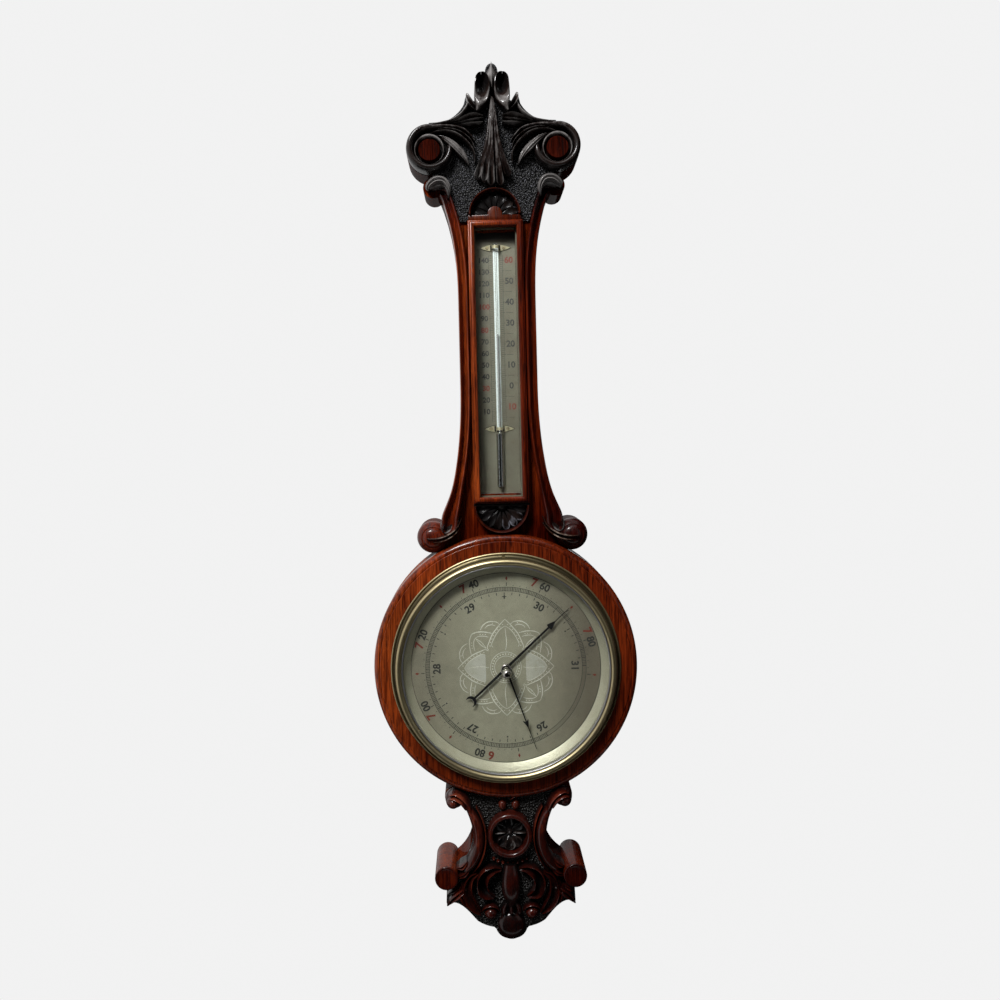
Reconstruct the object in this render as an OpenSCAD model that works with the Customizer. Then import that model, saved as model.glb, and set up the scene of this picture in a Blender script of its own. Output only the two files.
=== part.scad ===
// Banjo barometer: a carved oak wall case with an aneroid movement, a silvered dial and a boxed thermometer.
// Pieces are drawn with x to the right, y up, z out from the wall and the dial's centre at zero.
// stand() then turns them upright, with the wall plane at Y = 0 and the hanging hole at the origin.

/* [Dial] */
// Diameter of the silvered dial plate
dial_d = 203; // [190:1:215]
// Thickness of the dial plate
dial_t = 1.2; // [0.8:0.1:1.6]
// Width of the brass bezel, from its lip to its outer bead
bezel_w = 11.3; // [10.5:0.1:14]
// Height of the bezel over the wooden rim
bezel_h = 13; // [12:0.5:15]
// Thickness of the dial glass
glass_t = 2.4; // [2:0.1:3]
// Height of the glass over the wooden rim
glass_rise = 6.2; // [6:0.1:7.5]
// Width of the silvered ring that shows inside the bezel
sight_w = 2.9; // [2:0.1:4]
// Length of the indicating hand from its pivot to its point
hand_l = 86; // [70:1:90]
// Length of the indicating hand's tail
hand_tail_l = 52; // [40:1:60]
// Length of the set hand from its pivot to its point
set_hand_l = 84; // [70:1:90]
// Thickness of both hands
hand_t = 0.6; // [0.4:0.1:0.8]
// Length of the set knob in front of the glass
knob_l = 17; // [14:1:20]
// Diameter of the set knob
knob_d = 9.6; // [8:0.2:11]

/* [Case] */
// Thickness of the back board
board_t = 30; // [28:1:36]
// Thickness of the turned wooden rim round the dial
rim_t = 14; // [13:0.5:18]
// Width of the wooden rim outside the bezel
rim_w = 17.3; // [14:0.1:22]
// Height of the carved work over the back board
carve_h = 18; // [14:0.5:22]
// Thickness of the carved pieces' ground
ground_t = 3; // [2:0.5:5]
// Width of the side rails at the waist of the trunk
rail_w = 10.4; // [9:0.2:13]
// Depth of the recess at the back for a screw head in the wall
screw_room = 14; // [8:1:20]
// Thickness of the brass hanging plate
hanger_t = 2; // [1.5:0.1:3]
// Diameter of the hanging hole
hanger_hole_d = 6.4; // [5:0.1:8]

/* [Thermometer] */
// Width of the thermometer's sight opening
sight_open_w = 42; // [36:1:48]
// Height of the thermometer's sight opening
sight_open_h = 269; // [240:1:290]
// Width of the moulding round the opening
frame_w = 6.6; // [5.5:0.1:9]
// Height of the moulding over the back board
frame_h = 15; // [13:0.5:18]
// Thickness of the thermometer's glass pane
pane_t = 2; // [1.5:0.1:3]
// Thickness of the scale plate
scale_t = 1.2; // [0.8:0.1:2]
// Diameter of the glass tube
tube_d = 5.6; // [5:0.1:6.4]
// Diameter of the bulb
bulb_d = 7.2; // [6.6:0.1:8]
// Length of the bulb
bulb_l = 58; // [56:1:64]
// Diameter of the bore
bore_d = 1.3; // [1.1:0.1:1.6]

/* [Movement] */
// Diameter of the vacuum capsule
capsule_d = 72; // [60:1:76]
// Height of the capsule's body
capsule_h = 8.6; // [7:0.2:9]
// Thickness of the movement's base plate
base_t = 3; // [2.5:0.1:3.4]
// Width of the main spring
spring_w = 30; // [24:1:36]
// Thickness of the main spring's leaf
leaf_t = 1.4; // [1:0.1:1.6]
// Inner radius of the main spring's bend
bend_r = 5; // [4.5:0.1:5.2]
// Distance from the arbor to the link on the main lever
link_y = 52; // [48:1:56]
// Length of the rock shaft's short crank
crank_l = 4; // [3.6:0.1:4.4]
// Radius of the arbor's chain pulley
pulley_r = 2; // [1.8:0.1:2.4]
// Number of hairspring turns
hair_turns = 5; // [3:1:6]

/* [Hidden] */
$fn = 64;
clear = 0.4;          // room round pieces that are laid in
fit = 0.05;           // room round pins and screws
screw_r = 1.6;        // shank radius of the wood screws at the back
screw_l = 13;         // length of those screws
screw_head_r = 3.2;   // radius of their heads
slot_w = 0.8;         // width of their slots
tack_r = 0.9;         // shank radius of the bezel's screws
tack_l = 7;           // how deep the bezel's screws go into the rim
wood = "saddlebrown";
dark_wood = [0.30, 0.14, 0.07];
brass = "darkgoldenrod";
steel = "slategray";
silver = "silver";
dark = [0.12, 0.12, 0.13];

// Radii from the dial outwards
dial_r = dial_d / 2;
lip_r = dial_r + 0.9;
sight_r = lip_r - sight_w;
glass_r = lip_r + 1.6;
bezel_r = lip_r + bezel_w;
round_r = bezel_r + rim_w;
drum_r = dial_r - 4.4;
drum_wall = 1;
well_r = drum_r + clear;
flange_r = drum_r + 9;
flange_screw_r = drum_r + 5;

// Heights over the wall
face_z = board_t + rim_t;
dial_z = face_z - 2;
dial_front = dial_z + dial_t;
glass_z = face_z + glass_rise;
glass_front = glass_z + glass_t;
ground_z = board_t + ground_t;
drum_back = 0.9;
drum_t = 0.8;
floor_z = drum_back + drum_t;

// Places up and down the case
lunette_gap = 0.6;
lower_r = sight_open_w / 2 + frame_w + 0.4;
lower_y = round_r + lunette_gap + lower_r;
frame_y = lower_y + 2;
open_y = frame_y + frame_w;
open_top = open_y + sight_open_h;
frame_top = open_top + frame_w;
upper_r = lower_r - 1.5;
upper_y = frame_top + 6;
crest_y = upper_y + upper_r + 2;
pendant_y = -round_r;
hanger_rise = 60;
dial_drop = crest_y + hanger_rise;

// Half widths of the trunk
frame_half = sight_open_w / 2 + frame_w;
rail_gap = 0.5;
waist = frame_half + rail_gap + rail_w + 0.2;
head = [waist + 22.2, 2];            // centre of a rail's head scroll, up from the crest
head_r = 10.5;
foot = [waist + 31, round_r - 2];    // centre of a rail's foot scroll
foot_r = 16;
flare_low = frame_y + 120;
flare_high = crest_y - 118;
flare_end = foot[1] + 8;
head_flare = [18.5, 2.6];            // how far the trunk spreads at its head, and how late
foot_flare = [22, 2.3];              // the same at its foot

// Half width of the trunk at a height
function half_width(y) =
    y > flare_high ? waist + head_flare[0] * pow((y - flare_high) / (crest_y - flare_high), head_flare[1])
    : y < flare_low ? waist + foot_flare[0] * pow((flare_low - y) / (flare_low - flare_end), foot_flare[1])
    : waist;

// Plain curves for outlines and for the paths of carved ribs
function bezier(p, t) =
    p[0] * pow(1 - t, 3) + 3 * p[1] * t * pow(1 - t, 2) + 3 * p[2] * t * t * (1 - t) + p[3] * pow(t, 3);
function curve(p, steps) = [for (i = [0:steps]) bezier(p, i / steps)];
function arc(c, r, from, to, steps) =
    [for (i = [0:steps]) let (a = from + (to - from) * i / steps) c + r * [cos(a), sin(a)]];
// A value read from an evenly spaced list, t from 0 to 1
function along(list, t) =
    let (s = t * (len(list) - 1), i = min(floor(s), len(list) - 2))
        list[i] + (list[i + 1] - list[i]) * (s - i);
function heading(path, i) =
    let (d = path[min(i + 1, len(path) - 1)] - path[max(i - 1, 0)]) d / norm(d);

// A rounded rib that follows a path on the board, with half widths and heights along it
module rib(path, widths, heights, base = board_t, sides = 5) {
    ring = sides + 1;
    last = len(path) - 1;
    points = [for (i = [0:last]) let (t = i / last, h = heading(path, i), across = [-h[1], h[0]])
        for (j = [0:sides]) let (a = 180 * j / sides, side = along(widths, t) * cos(a))
            [path[i][0] + across[0] * side, path[i][1] + across[1] * side,
            base + along(heights, t) * sin(a)]];
    walls = [for (i = [0:last - 1]) for (j = [0:sides]) let (k = (j + 1) % ring)
        [i * ring + j, (i + 1) * ring + j, (i + 1) * ring + k, i * ring + k]];
    ends = [[for (j = [0:sides]) j], [for (j = [sides:-1:0]) last * ring + j]];
    polyhedron(points, concat(walls, ends), convexity = 6);
}

// Carved work is one closed mesh, because its many blended ribs have no true curves to keep
module carved() { resize([0, 0, 0]) union() children(); }
module both_sides() { children(); mirror([1, 0, 0]) children(); }
module stand() { rotate([90, 0, 0]) translate([0, -dial_drop, 0]) children(); }
module at(p) { translate([p[0], p[1], 0]) children(); }

// Outlines of the case

volute = [foot[0] - 7, 38.5];      // centre of a crest volute, up from the crest
volute_r = 24.5;
crest_side = concat(
    [[0, -4], [head[0] - 4, -4], [head[0], head[1] + head_r], [volute[0] + 1.3, volute[1]]],
    [[volute[0] + 1.3, volute[1] + 28]],
    curve([[volute[0] - 14, 67.5], [40, 70], [32, 77], [28.5, 84]], 6),
    curve([[27, 90], [26, 94], [23, 92], [20, 86.5]], 4),
    curve([[17.6, 88], [15, 98], [19.5, 110], [11.5, 114.6]], 6),
    [[7.2, 112.6]],
    curve([[6.4, 116], [6.4, 121], [3.5, 125], [0, 125]], 5));

module crest_2d() {
    translate([0, crest_y]) {
        both_sides() {
            polygon(crest_side);
            translate(volute) circle(volute_r);
        }
    }
}

trunk_steps = 26;
trunk_low = foot[1] - foot_r;
trunk_high = crest_y - 1;
trunk_side = [for (i = [0:trunk_steps]) let (y = trunk_low + (trunk_high - trunk_low) * i / trunk_steps)
    [half_width(max(y, flare_end)), y]];

module trunk_2d() {
    both_sides() {
        polygon(concat([[0, trunk_low], [trunk_side[0][0], trunk_low]], trunk_side, [[0, trunk_high]]));
        translate(foot) circle(foot_r);
        translate([head[0], crest_y + head[1]]) circle(head_r);
    }
}

curl = [54, -1.5];       // centre of the pendant's upper scroll
curl_r = 10;
neck = [76.5, -37.5];    // centre of the neck's hollow
neck_r = 39.8;
roll = [63.5, -74.8];    // centre of a side roll
roll_r = 11.5;
drop_y = -145;           // lowest point of the pendant
drop_r = 15;             // radius of the knob there
pendant_side = concat(
    [[0, 25], [curl[0], 25], curl, [curl[0] + 2, curl[1] - 12], roll],
    [[roll[0], roll[1] - roll_r + 1], [64.5, -97]],
    curve([[65, -109], [56, -105], [49, -108.5], [37, -123]], 5),
    curve([[34, -126.5], [29, -130], [23, -132], [17.5, -133]], 3),
    curve([[15.5, -135], [13.5, -141.5], [8, drop_y], [0, drop_y]], 4));

module pendant_2d() {
    translate([0, pendant_y]) both_sides() {
        difference() {
            polygon(pendant_side);
            translate(neck) circle(neck_r);
            translate(roll) circle(roll_r + fit);
        }
        translate(curl) circle(curl_r);
    }
}

// Places of the back's fasteners and of the adjusting screw
drum_screw_angles = [90, 210, 330];
hanger_size = [32, 52];
hanger_screw_y = [-19, 19];
adjust_y = -(capsule_d / 2 + 22);

scale_half = sight_open_w / 2 - 1;
scale_y = open_y + 3;
scale_top = open_top - 3;
trough_z = board_t - 6;

// Wooden case

module carcase() {
    color(wood) stand() difference() {
        union() {
            cylinder(r = round_r, h = board_t);
            linear_extrude(board_t) trunk_2d();
            linear_extrude(board_t) crest_2d();
            linear_extrude(board_t) pendant_2d();
        }
        translate([0, 0, -1]) cylinder(r = well_r, h = board_t + 2);
        translate([0, 0, -1]) cylinder(r = flange_r + clear, h = floor_z + 1);
        for (a = drum_screw_angles) rotate(a) translate([flange_screw_r, 0, 0])
            cylinder(r = screw_r + fit, h = screw_l + 1);
        translate([-scale_half - clear, scale_y - clear, trough_z])
            cube([2 * (scale_half + clear), scale_top - scale_y + 2 * clear, board_t]);
        translate([0, dial_drop, 0]) {
            translate([-hanger_size[0] / 2 - fit, -hanger_size[1] / 2 - fit, -1])
                cube([hanger_size[0] + 2 * fit, hanger_size[1] + 2 * fit, hanger_t + 1]);
            cylinder(d = 2 * hanger_hole_d, h = screw_room);
            for (y = hanger_screw_y) translate([0, y, 0]) cylinder(r = screw_r + fit, h = screw_l + hanger_t);
        }
    }
}

rim_round = 5.5;   // radius of the rim's rounded outer edge
rim_line = 1;      // width and height of the fillet inside it
module dial_rim() {
    color(wood) stand() difference() {
        rotate_extrude() difference() {
            translate([well_r, board_t]) square([round_r - well_r, rim_t]);
            translate([0, dial_z]) square([dial_r + clear, rim_t]);
            translate([round_r - rim_round, face_z - rim_line - rim_round]) difference() {
                square(2 * rim_round);
                circle(rim_round);
            }
            translate([round_r - rim_round - rim_line, face_z - rim_line]) square(2 * rim_round);
        }
        bezel_screw_places() cylinder(r = tack_r + fit, h = 2 * tack_l + 2, center = true);
    }
}

crook_w = 4;      // half width of a rail where it curls over at its head
module rail() {
    hw = rail_w / 2;
    climb = [for (i = [0:16]) let (y = crest_y - 4 - (crest_y - 4 - foot[1] - 18) * i / 16)
        [half_width(y) - hw, y]];
    crook = arc([head[0], crest_y + head[1]], head_r - crook_w, -60, 175, 8);
    rib(concat(crook, climb, [[foot[0] - 11, flare_end]]),
        [crook_w - 0.4, crook_w - 0.4, hw - 0.6, hw, hw, hw, hw, hw, hw - 0.4, 3.5],
        [11, 13, 14, 14, 14, 14, 14, 14, 14, 12]);
    intersection() {
        translate([foot[0], foot[1], board_t]) scale([1, 1, 0.95]) sphere(foot_r, $fn = 20);
        translate([foot[0], foot[1], board_t]) cylinder(r = 2 * foot_r, h = 2 * foot_r);
    }
    // Two beads that sweep from the foot scroll to the inner edge of the rail
    translate(foot) {
        rib(curve([[6, 0], [-10, -2], [-26, 5], [-29, 19]], 8), [1, 1.9, 1.9, 1.1],
            [14, 16, 13, 9], sides = 4);
        rib(curve([[0, -3.6], [-12, -4.5], [-24, 2], [-29, 13]], 8), [1, 1.8, 1.8, 1],
            [13, 15, 11, 8], sides = 4);
    }
}
module rail_cut() {
    // Room for the rim below and for the lower lunette beside it
    translate([0, 0, board_t - 1]) cylinder(r = round_r + 0.3, h = 2 * carve_h);
    translate([0, lower_y, board_t - 1]) cylinder(r = lower_r + 0.3, h = 2 * carve_h);
}
module right_rail() { color(wood) stand() carved() difference() { rail(); rail_cut(); } }
module left_rail() { color(wood) stand() carved() mirror([1, 0, 0]) difference() { rail(); rail_cut(); } }

// A half-round panel with a moulded edge and a fan of carved flutes
module lunette(r, petals) {
    depth = 13;
    intersection() {
        union() {
            translate([0, 0, board_t]) cylinder(r = r - 1, h = 4, $fn = 40);
            translate([0, 0, board_t]) rotate_extrude($fn = 40)
                polygon([[r - 4, 0], [r, 0], [r, depth - 3], [r - 0.7, depth - 0.8], [r - 2.2, depth],
                    [r - 3.6, depth - 1]]);
            translate([0, 0, board_t]) sphere(r * 0.26, $fn = 16);
            for (i = [0:petals - 1]) let (a = 180 * (i + 0.5) / petals, u = [cos(a), sin(a)])
                rib([for (s = [0.3, 0.45, 0.6, 0.75, 0.86]) u * s * r],
                    [0.05 * r, 0.09 * r, 0.125 * r, 0.155 * r, 0.12 * r], [5, 7, 8.5, 10, 8], sides = 4);
        }
        translate([-r, 0, board_t]) cube([2 * r, r, 100]);
    }
    translate([-r, -6 + 2 * fit, board_t]) cube([2 * r, 6, 9]);
}
module upper_lunette() {
    color(dark_wood) stand() carved() translate([0, upper_y, 0]) lunette(upper_r, 7);
}
module lower_lunette() {
    color(dark_wood) stand() carved() translate([0, lower_y, 0]) mirror([0, 1, 0]) intersection() {
        lunette(lower_r, 7);
        translate([-50, -2, 0]) cube([100, 100, 100]);
    }
}

// One mitred length of the thermometer's moulding, its outer edge along x
mitre_gap = 0.05;   // glue line in the mitres
rebate = 1.8;       // depth of the rebate that takes the pane
pane_lap = 1.4;     // how far the pane reaches into the rebate
module moulding(length) {
    half = length / 2 - mitre_gap;
    intersection() {
        translate([length / 2, 0, 0]) rotate([0, -90, 0]) linear_extrude(length) union() {
            square([frame_h - 4, frame_w]);
            translate([frame_h - 4, frame_w - 2.6]) circle(2.6);
            translate([frame_h - 5, 1.3]) circle(1.3);
        }
        linear_extrude(2 * frame_h)
            polygon([[-half, 0], [half, 0], [half - frame_w, frame_w], [-half + frame_w, frame_w]]);
    }
}
frame_size = [2 * frame_half, frame_top - frame_y];
pane_z = board_t + 5;   // the pane lies this high, on its slip
module thermometer_frame() {
    color(wood) stand() difference() {
        translate([0, (frame_y + frame_top) / 2, board_t]) for (a = [0:90:270]) rotate(a)
            translate([0, -frame_size[a % 180 == 0 ? 1 : 0] / 2, 0])
                moulding(frame_size[a % 180 == 0 ? 0 : 1]);
        translate([-sight_open_w / 2 - rebate, open_y - rebate, board_t - 1])
            cube([sight_open_w + 2 * rebate, sight_open_h + 2 * rebate, pane_z - board_t + pane_t + 1 + fit]);
    }
}

module crest_volutes() {
    color(dark_wood) stand() both_sides() translate([volute[0], crest_y + volute[1], board_t]) {
        rotate_extrude() difference() {
            square([volute_r - 0.2, 16]);
            translate([volute_r - 0.2, 16]) circle(6);
            translate([17.4, 19]) circle(4.2);
            translate([11.6, 10]) square([2, 20]);
            translate([0, 35]) circle(20.5);
        }
    }
}

rib_seat = 1.2;   // ribs start this high inside the ground
// Room in the crest's lower corner for the head of a rail
rail_room = [[half_width(crest_y - 6) - rail_w - 1.6, crest_y - 6],
    [head[0] - head_r + 0.6, crest_y + head[1] + 6],
    [head[0], crest_y + head[1] + 6], [head[0], crest_y - 6]];
// The crest's ground beside the upper lunette, between it and a rail
skirt_low = frame_top + 0.3;
skirt_steps = 6;
skirt = concat([[upper_r + 0.6, skirt_low]],
    [for (i = [0:skirt_steps]) let (y = skirt_low + (crest_y - 4 - skirt_low) * i / skirt_steps)
        [half_width(y) - rail_w - 1, y]],
    [[0, crest_y], [0, upper_y + 2], [upper_r + 0.6, upper_y + 2]]);
// The crest's leaves, one side of them, as paths over the crest's foot
module crest_leaves() {
    h = carve_h - rib_seat;
    over = arc(volute, volute_r + 1.8, 112, 58, 5);
    rib(concat(curve([[14, 80], [26, 78], [36, 68], [46, 66]], 5), over), [2.4, 4, 3.4, 2, 1.6, 1.2],
        [h - 6, h - 2, h - 2, h - 4, h - 6, h - 10]);
    rib(curve([[60, 62.5], [38, 70], [30, 50], [20, 18]], 9), [1.6, 3.4, 4.6, 4.4, 2.8, 0.8],
        [h - 7, h - 2, h, h - 2, h - 5, 5]);
    rib(curve([[37, 56], [34, 46], [30, 34], [27, 16]], 6), [2, 3.2, 3.2, 2.4, 0.8], [8, 12, 12, 10, 4]);
    rib(curve([[7, 73], [18, 79], [26, 76], [34, 69]], 6), [1.5, 3, 3.2, 2.4, 1],
        [h - 5, h - 3, h - 4, h - 6, 8]);
    rib(curve([[8, 62], [16, 68], [24, 66], [31, 58]], 6), [1.5, 3.4, 3.4, 2.4, 1],
        [h - 6, h - 4, h - 5, h - 7, 7]);
    rib(curve([[10, 82], [17, 80], [22, 84], [24.5, 91]], 5), [3, 3.2, 2.6, 1], [h - 5, h - 5, h - 7, 8]);
    rib(curve([[9.5, 76], [9, 88], [9.2, 100], [11.3, 113.6]], 6), [4, 6, 6.8, 6, 2.5],
        [h - 6, h - 2, h, h - 2, h - 8]);
    rib(curve([[44, 42], [36, 36], [38, 22], [40, 8]], 6), [1, 2.6, 3, 2.6, 1], [5, 9, 10, 9, 5]);
}
module crest_husk() {
    h = carve_h - rib_seat;
    for (i = [-3:3]) let (x = 6.1 * i, low = 1 + abs(i) * 2.6)
        rib(curve([[0.5 * i, 92], [1.6 * i, 62], [2 * i, 38], [x, low]], 7), [0.8, 1.5, 2, 3, 3.1, 1.4],
            [h - 8, h - 3, h - 1, h - abs(i), h - 2 - abs(i), 7]);
    rib([[0, 84], [0, 96], [0, 108], [0, 118], [0, 124]], [3, 4.6, 6, 6, 3], [h - 4, h - 1, h, h - 2, h - 8]);
}
module crest_carving() {
    color(dark_wood) stand() carved() difference() {
        union() {
            translate([0, 0, board_t]) linear_extrude(ground_t) {
                crest_2d($fn = 40);
                both_sides() polygon(skirt);
            }
            translate([0, crest_y, rib_seat]) {
                both_sides() crest_leaves();
                crest_husk();
            }
        }
        translate([0, upper_y, board_t - 1]) cylinder(r = upper_r + 0.3, h = 2 * carve_h, $fn = 48);
        both_sides() {
            translate([volute[0], crest_y + volute[1], board_t - 1])
                cylinder(r = volute_r + 0.3, h = 2 * carve_h, $fn = 48);
            translate([head[0], crest_y + head[1], board_t - 1])
                cylinder(r = head_r + 0.6, h = 2 * carve_h, $fn = 32);
            translate([0, 0, board_t - 1]) linear_extrude(2 * carve_h) polygon(rail_room);
        }
    }
}

patera = [0, -37];       // centre of the round patera on the pendant
patera_r = 22;
berries = [[6.5, -8.5, 3.6], [21.5, -116, 7]];   // place and radius of a berry on each side

module pendant_leaves() {
    h = carve_h - rib_seat;
    crook = arc(curl, 5.8, -70, 170, 7);
    rib(concat(crook, arc(neck, neck_r + 5.9, 138, 229, 9)), [3.6, 4, 4.8, 5.6, 5.6, 5.4, 3.6],
        [12, 14, 15, 14, 14, 14, 9]);
    rib(arc(neck, neck_r + 12.9, 146, 222, 9), [0.7, 1.2, 1.2, 0.7], [8, 11, 11, 8], sides = 4);
    rib(curve([[10, -66], [28, -68], [36, -84], [22, -104]], 7), [1.5, 4, 5, 4.4, 1.2],
        [8, h - 4, h - 1, h - 4, 6]);
    rib(curve([[34, -74], [46, -82], [44, -102], [32, -121]], 6), [1.5, 3.6, 4.4, 3.6, 1.2],
        [7, 13, 15, 12, 5]);
    rib(curve([[50, -86], [50, -94], [47, -102], [41, -113]], 5), [1.5, 3, 3.4, 2.6, 1], [6, 10, 11, 9, 4]);
    rib(curve([[47, -92], [54, -95], [60, -100], [64, -107.5]], 5), [2, 3.4, 3.2, 2.2, 0.8],
        [7, 11, 10, 8, 4]);
}
module pendant_carving() {
    h = carve_h - rib_seat;
    color(dark_wood) stand() carved() difference() {
        union() {
            translate([0, 0, board_t]) linear_extrude(ground_t) pendant_2d($fn = 40);
            translate([0, pendant_y, rib_seat]) {
                both_sides() pendant_leaves();
                rib([[0, -60], [0, -70], [0, -82], [0, -96], [0, -108]], [5, 10, 11.5, 10, 4],
                    [9, h - 3, h, h - 2, 8]);
                intersection() {
                    translate([0, drop_y + drop_r, board_t]) scale([1, 1, 1.05]) sphere(drop_r, $fn = 24);
                    translate([-20, drop_y, board_t]) cube([40, 40, 40]);
                }
            }
        }
        translate([0, 0, board_t - 1]) cylinder(r = round_r + 0.3, h = 2 * carve_h, $fn = 96);
        translate([0, pendant_y, 0]) {
            at(patera) translate([0, 0, ground_z]) cylinder(r = patera_r + 0.3, h = 2 * carve_h, $fn = 48);
            both_sides() {
                at(roll) translate([0, 0, board_t - 1]) cylinder(r = roll_r + 0.2, h = 2 * carve_h, $fn = 32);
                for (b = berries) at(b) translate([0, 0, ground_z])
                    cylinder(r = b[2] + 0.3, h = 2 * carve_h, $fn = 24);
            }
        }
    }
}
module side_rolls() {
    color(dark_wood) stand() both_sides() translate([roll[0], pendant_y + roll[1], 0])
        rotate_extrude() difference() {
            square([roll_r, board_t + carve_h]);
            translate([0, board_t + carve_h + 34]) circle(35);
            translate([roll_r, board_t + carve_h]) circle(2);
        }
}
module patera_rosette() {
    color(dark_wood) stand() carved() translate([0, pendant_y, 0]) at(patera) {
        translate([0, 0, ground_z]) rotate_extrude($fn = 40)
            polygon([[0, 0], [patera_r, 0], [patera_r, 8], [patera_r - 1.2, 10.5], [patera_r - 3, 11],
                [patera_r - 4.6, 9.4], [patera_r - 5.4, 4], [0, 4]]);
        translate([0, 0, ground_z + 5]) sphere(4.6, $fn = 14);
        for (a = [0:45:315]) rib([for (s = [4, 7, 10, 13, 15]) s * [cos(a), sin(a)]],
            [1.4, 3, 4.2, 4.4, 2], [4, 6, 8, 9, 6], ground_z, 4);
    }
}
module berry_beads() {
    color(dark_wood) stand() both_sides() for (b = berries) translate([b[0], pendant_y + b[1], ground_z])
        difference() {
            translate([0, 0, 0.35 * b[2]]) sphere(b[2]);
            translate([-b[2], -b[2], -2 * b[2]]) cube(2 * b[2]);
        }
}

// Hanging plate at the back of the crest

module hanging_plate() {
    color(brass) stand() translate([0, dial_drop, 0]) difference() {
        translate([-hanger_size[0] / 2, -hanger_size[1] / 2, 0])
            cube([hanger_size[0], hanger_size[1], hanger_t]);
        translate([0, 0, -1]) cylinder(d = hanger_hole_d, h = hanger_t + 2);
        for (y = hanger_screw_y) translate([0, y, 0]) countersink(hanger_t + fit);
    }
}
module countersink(depth) {
    translate([0, 0, -0.01]) cylinder(r1 = screw_head_r + 0.2, r2 = screw_r, h = depth);
    translate([0, 0, -0.01]) cylinder(r = screw_r, h = depth + 1);
}
module hanging_screws() {
    color(brass) stand() for (y = hanger_screw_y) translate([0, dial_drop + y, 0]) difference() {
        union() {
            translate([0, 0, 0.1]) cylinder(r1 = screw_head_r, r2 = screw_r - 0.1, h = hanger_t - 0.1);
            translate([0, 0, 0.1]) cylinder(r = screw_r - 0.1, h = screw_l);
        }
        translate([-screw_head_r - 1, -slot_w / 2, -1]) cube([2 * screw_head_r + 2, slot_w, 1.8]);
    }
}

// Dial, bezel and glass

bezel_screw_r = bezel_r - 3.9;
tack_head_r = 1.8;
tack_seat = 3.4;       // height of the screw heads' seats over the rim
module bezel_screw_places() {
    for (a = [90, 210, 330]) rotate(a) translate([bezel_screw_r, 0, face_z]) children();
}
module bezel() {
    crest = 3.4;   // radius of the bezel's main roll
    bead = 1.7;    // radius of its outer bead
    color(brass) stand() difference() {
        rotate_extrude() difference() {
            union() {
                polygon([[lip_r, face_z], [bezel_r - 0.5, face_z], [bezel_r - 0.5, face_z + 1.6],
                    [bezel_r - 2.9, face_z + 2.6], [bezel_r - 4.4, face_z + 3],
                    [bezel_r - 4.9, face_z + bezel_h - 6], [lip_r + 2 * crest - 0.4, face_z + bezel_h - 4],
                    [lip_r + crest, face_z + bezel_h - 1], [lip_r, face_z + bezel_h - crest]]);
                translate([bezel_r - bead, face_z + bead]) circle(bead);
                translate([lip_r + crest, face_z + bezel_h - crest]) circle(crest);
            }
            translate([0, face_z - 1]) square([glass_r + clear, glass_front + fit - face_z + 1]);
        }
        bezel_screw_places() cylinder(r = tack_r + fit, h = 2 * bezel_h, center = true);
        bezel_screw_places() translate([0, 0, tack_seat]) cylinder(r = tack_head_r + 2 * fit, h = bezel_h);
    }
}
module bezel_screws() {
    color(brass) stand() bezel_screw_places() difference() {
        union() {
            translate([0, 0, -tack_l]) cylinder(r = tack_r, h = tack_l + tack_seat + 0.6);
            translate([0, 0, tack_seat]) cylinder(r = tack_head_r, h = 1.1);
        }
        translate([-2 * tack_head_r, -0.25, tack_seat + 0.6]) cube([4 * tack_head_r, 0.5, 2]);
    }
}
module dial_glass() {
    color([0.8, 0.9, 0.9, 0.3]) stand() translate([0, 0, glass_z]) difference() {
        cylinder(r = glass_r, h = glass_t);
        translate([0, 0, -1]) cylinder(r = set_arbor_r + 0.2, h = glass_t + 2);
    }
}
module sight_ring() {
    wall = 0.7;
    color(silver) stand() rotate_extrude() polygon([[sight_r, dial_front], [sight_r + wall, dial_front],
        [lip_r - 0.2, glass_z - wall], [glass_r, glass_z - wall],
        [glass_r, glass_z],[lip_r - 0.6, glass_z]]);
}
module dial_plate() {
    color(silver) stand() translate([0, 0, dial_z]) difference() {
        cylinder(r = dial_r, h = dial_t);
        translate([0, 0, -1]) cylinder(r = 3, h = dial_t + 2);
    }
}

// Indicating hand: a tapering blade with an arrowhead and a crescent on its tail

hand_z = dial_front + 2.2;
hand_boss_h = 1.8;
hand_boss_r = 4.2;
hand_angle = 47.7;     // where the hand points, clockwise from the top
arrow_r = 67;          // where the arrowhead ends and the fine needle begins
arbor_tip_r = 1;
module hand_outline(length, tail) {
    arrow = min(arrow_r, length - 14);
    polygon([[-1.3, 0], [-0.9, arrow - 9], [-3.4, arrow - 8.4], [-0.45, arrow], [-0.25, length],
        [0.25, length], [0.45, arrow], [3.4, arrow - 8.4], [0.9, arrow - 9], [1.3, 0]]);
    polygon([[-1.3, 0], [1.3, 0], [1, -tail + 9], [-1, -tail + 9]]);
    translate([0, -tail + 4.4]) difference() {
        circle(5.4);
        translate([0, -2.4]) circle(4.6);
    }
}
module indicating_hand() {
    color(dark) stand() rotate(-hand_angle) difference() {
        union() {
            translate([0, 0, hand_z]) cylinder(r = hand_boss_r, h = hand_boss_h);
            translate([0, 0, hand_z + (hand_boss_h - hand_t) / 2]) linear_extrude(hand_t)
                hand_outline(hand_l, hand_tail_l);
        }
        translate([0, 0, hand_z - 1]) cylinder(r = arbor_tip_r, h = hand_boss_h + 2);
    }
}

// Set hand and its knob through the glass

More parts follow.
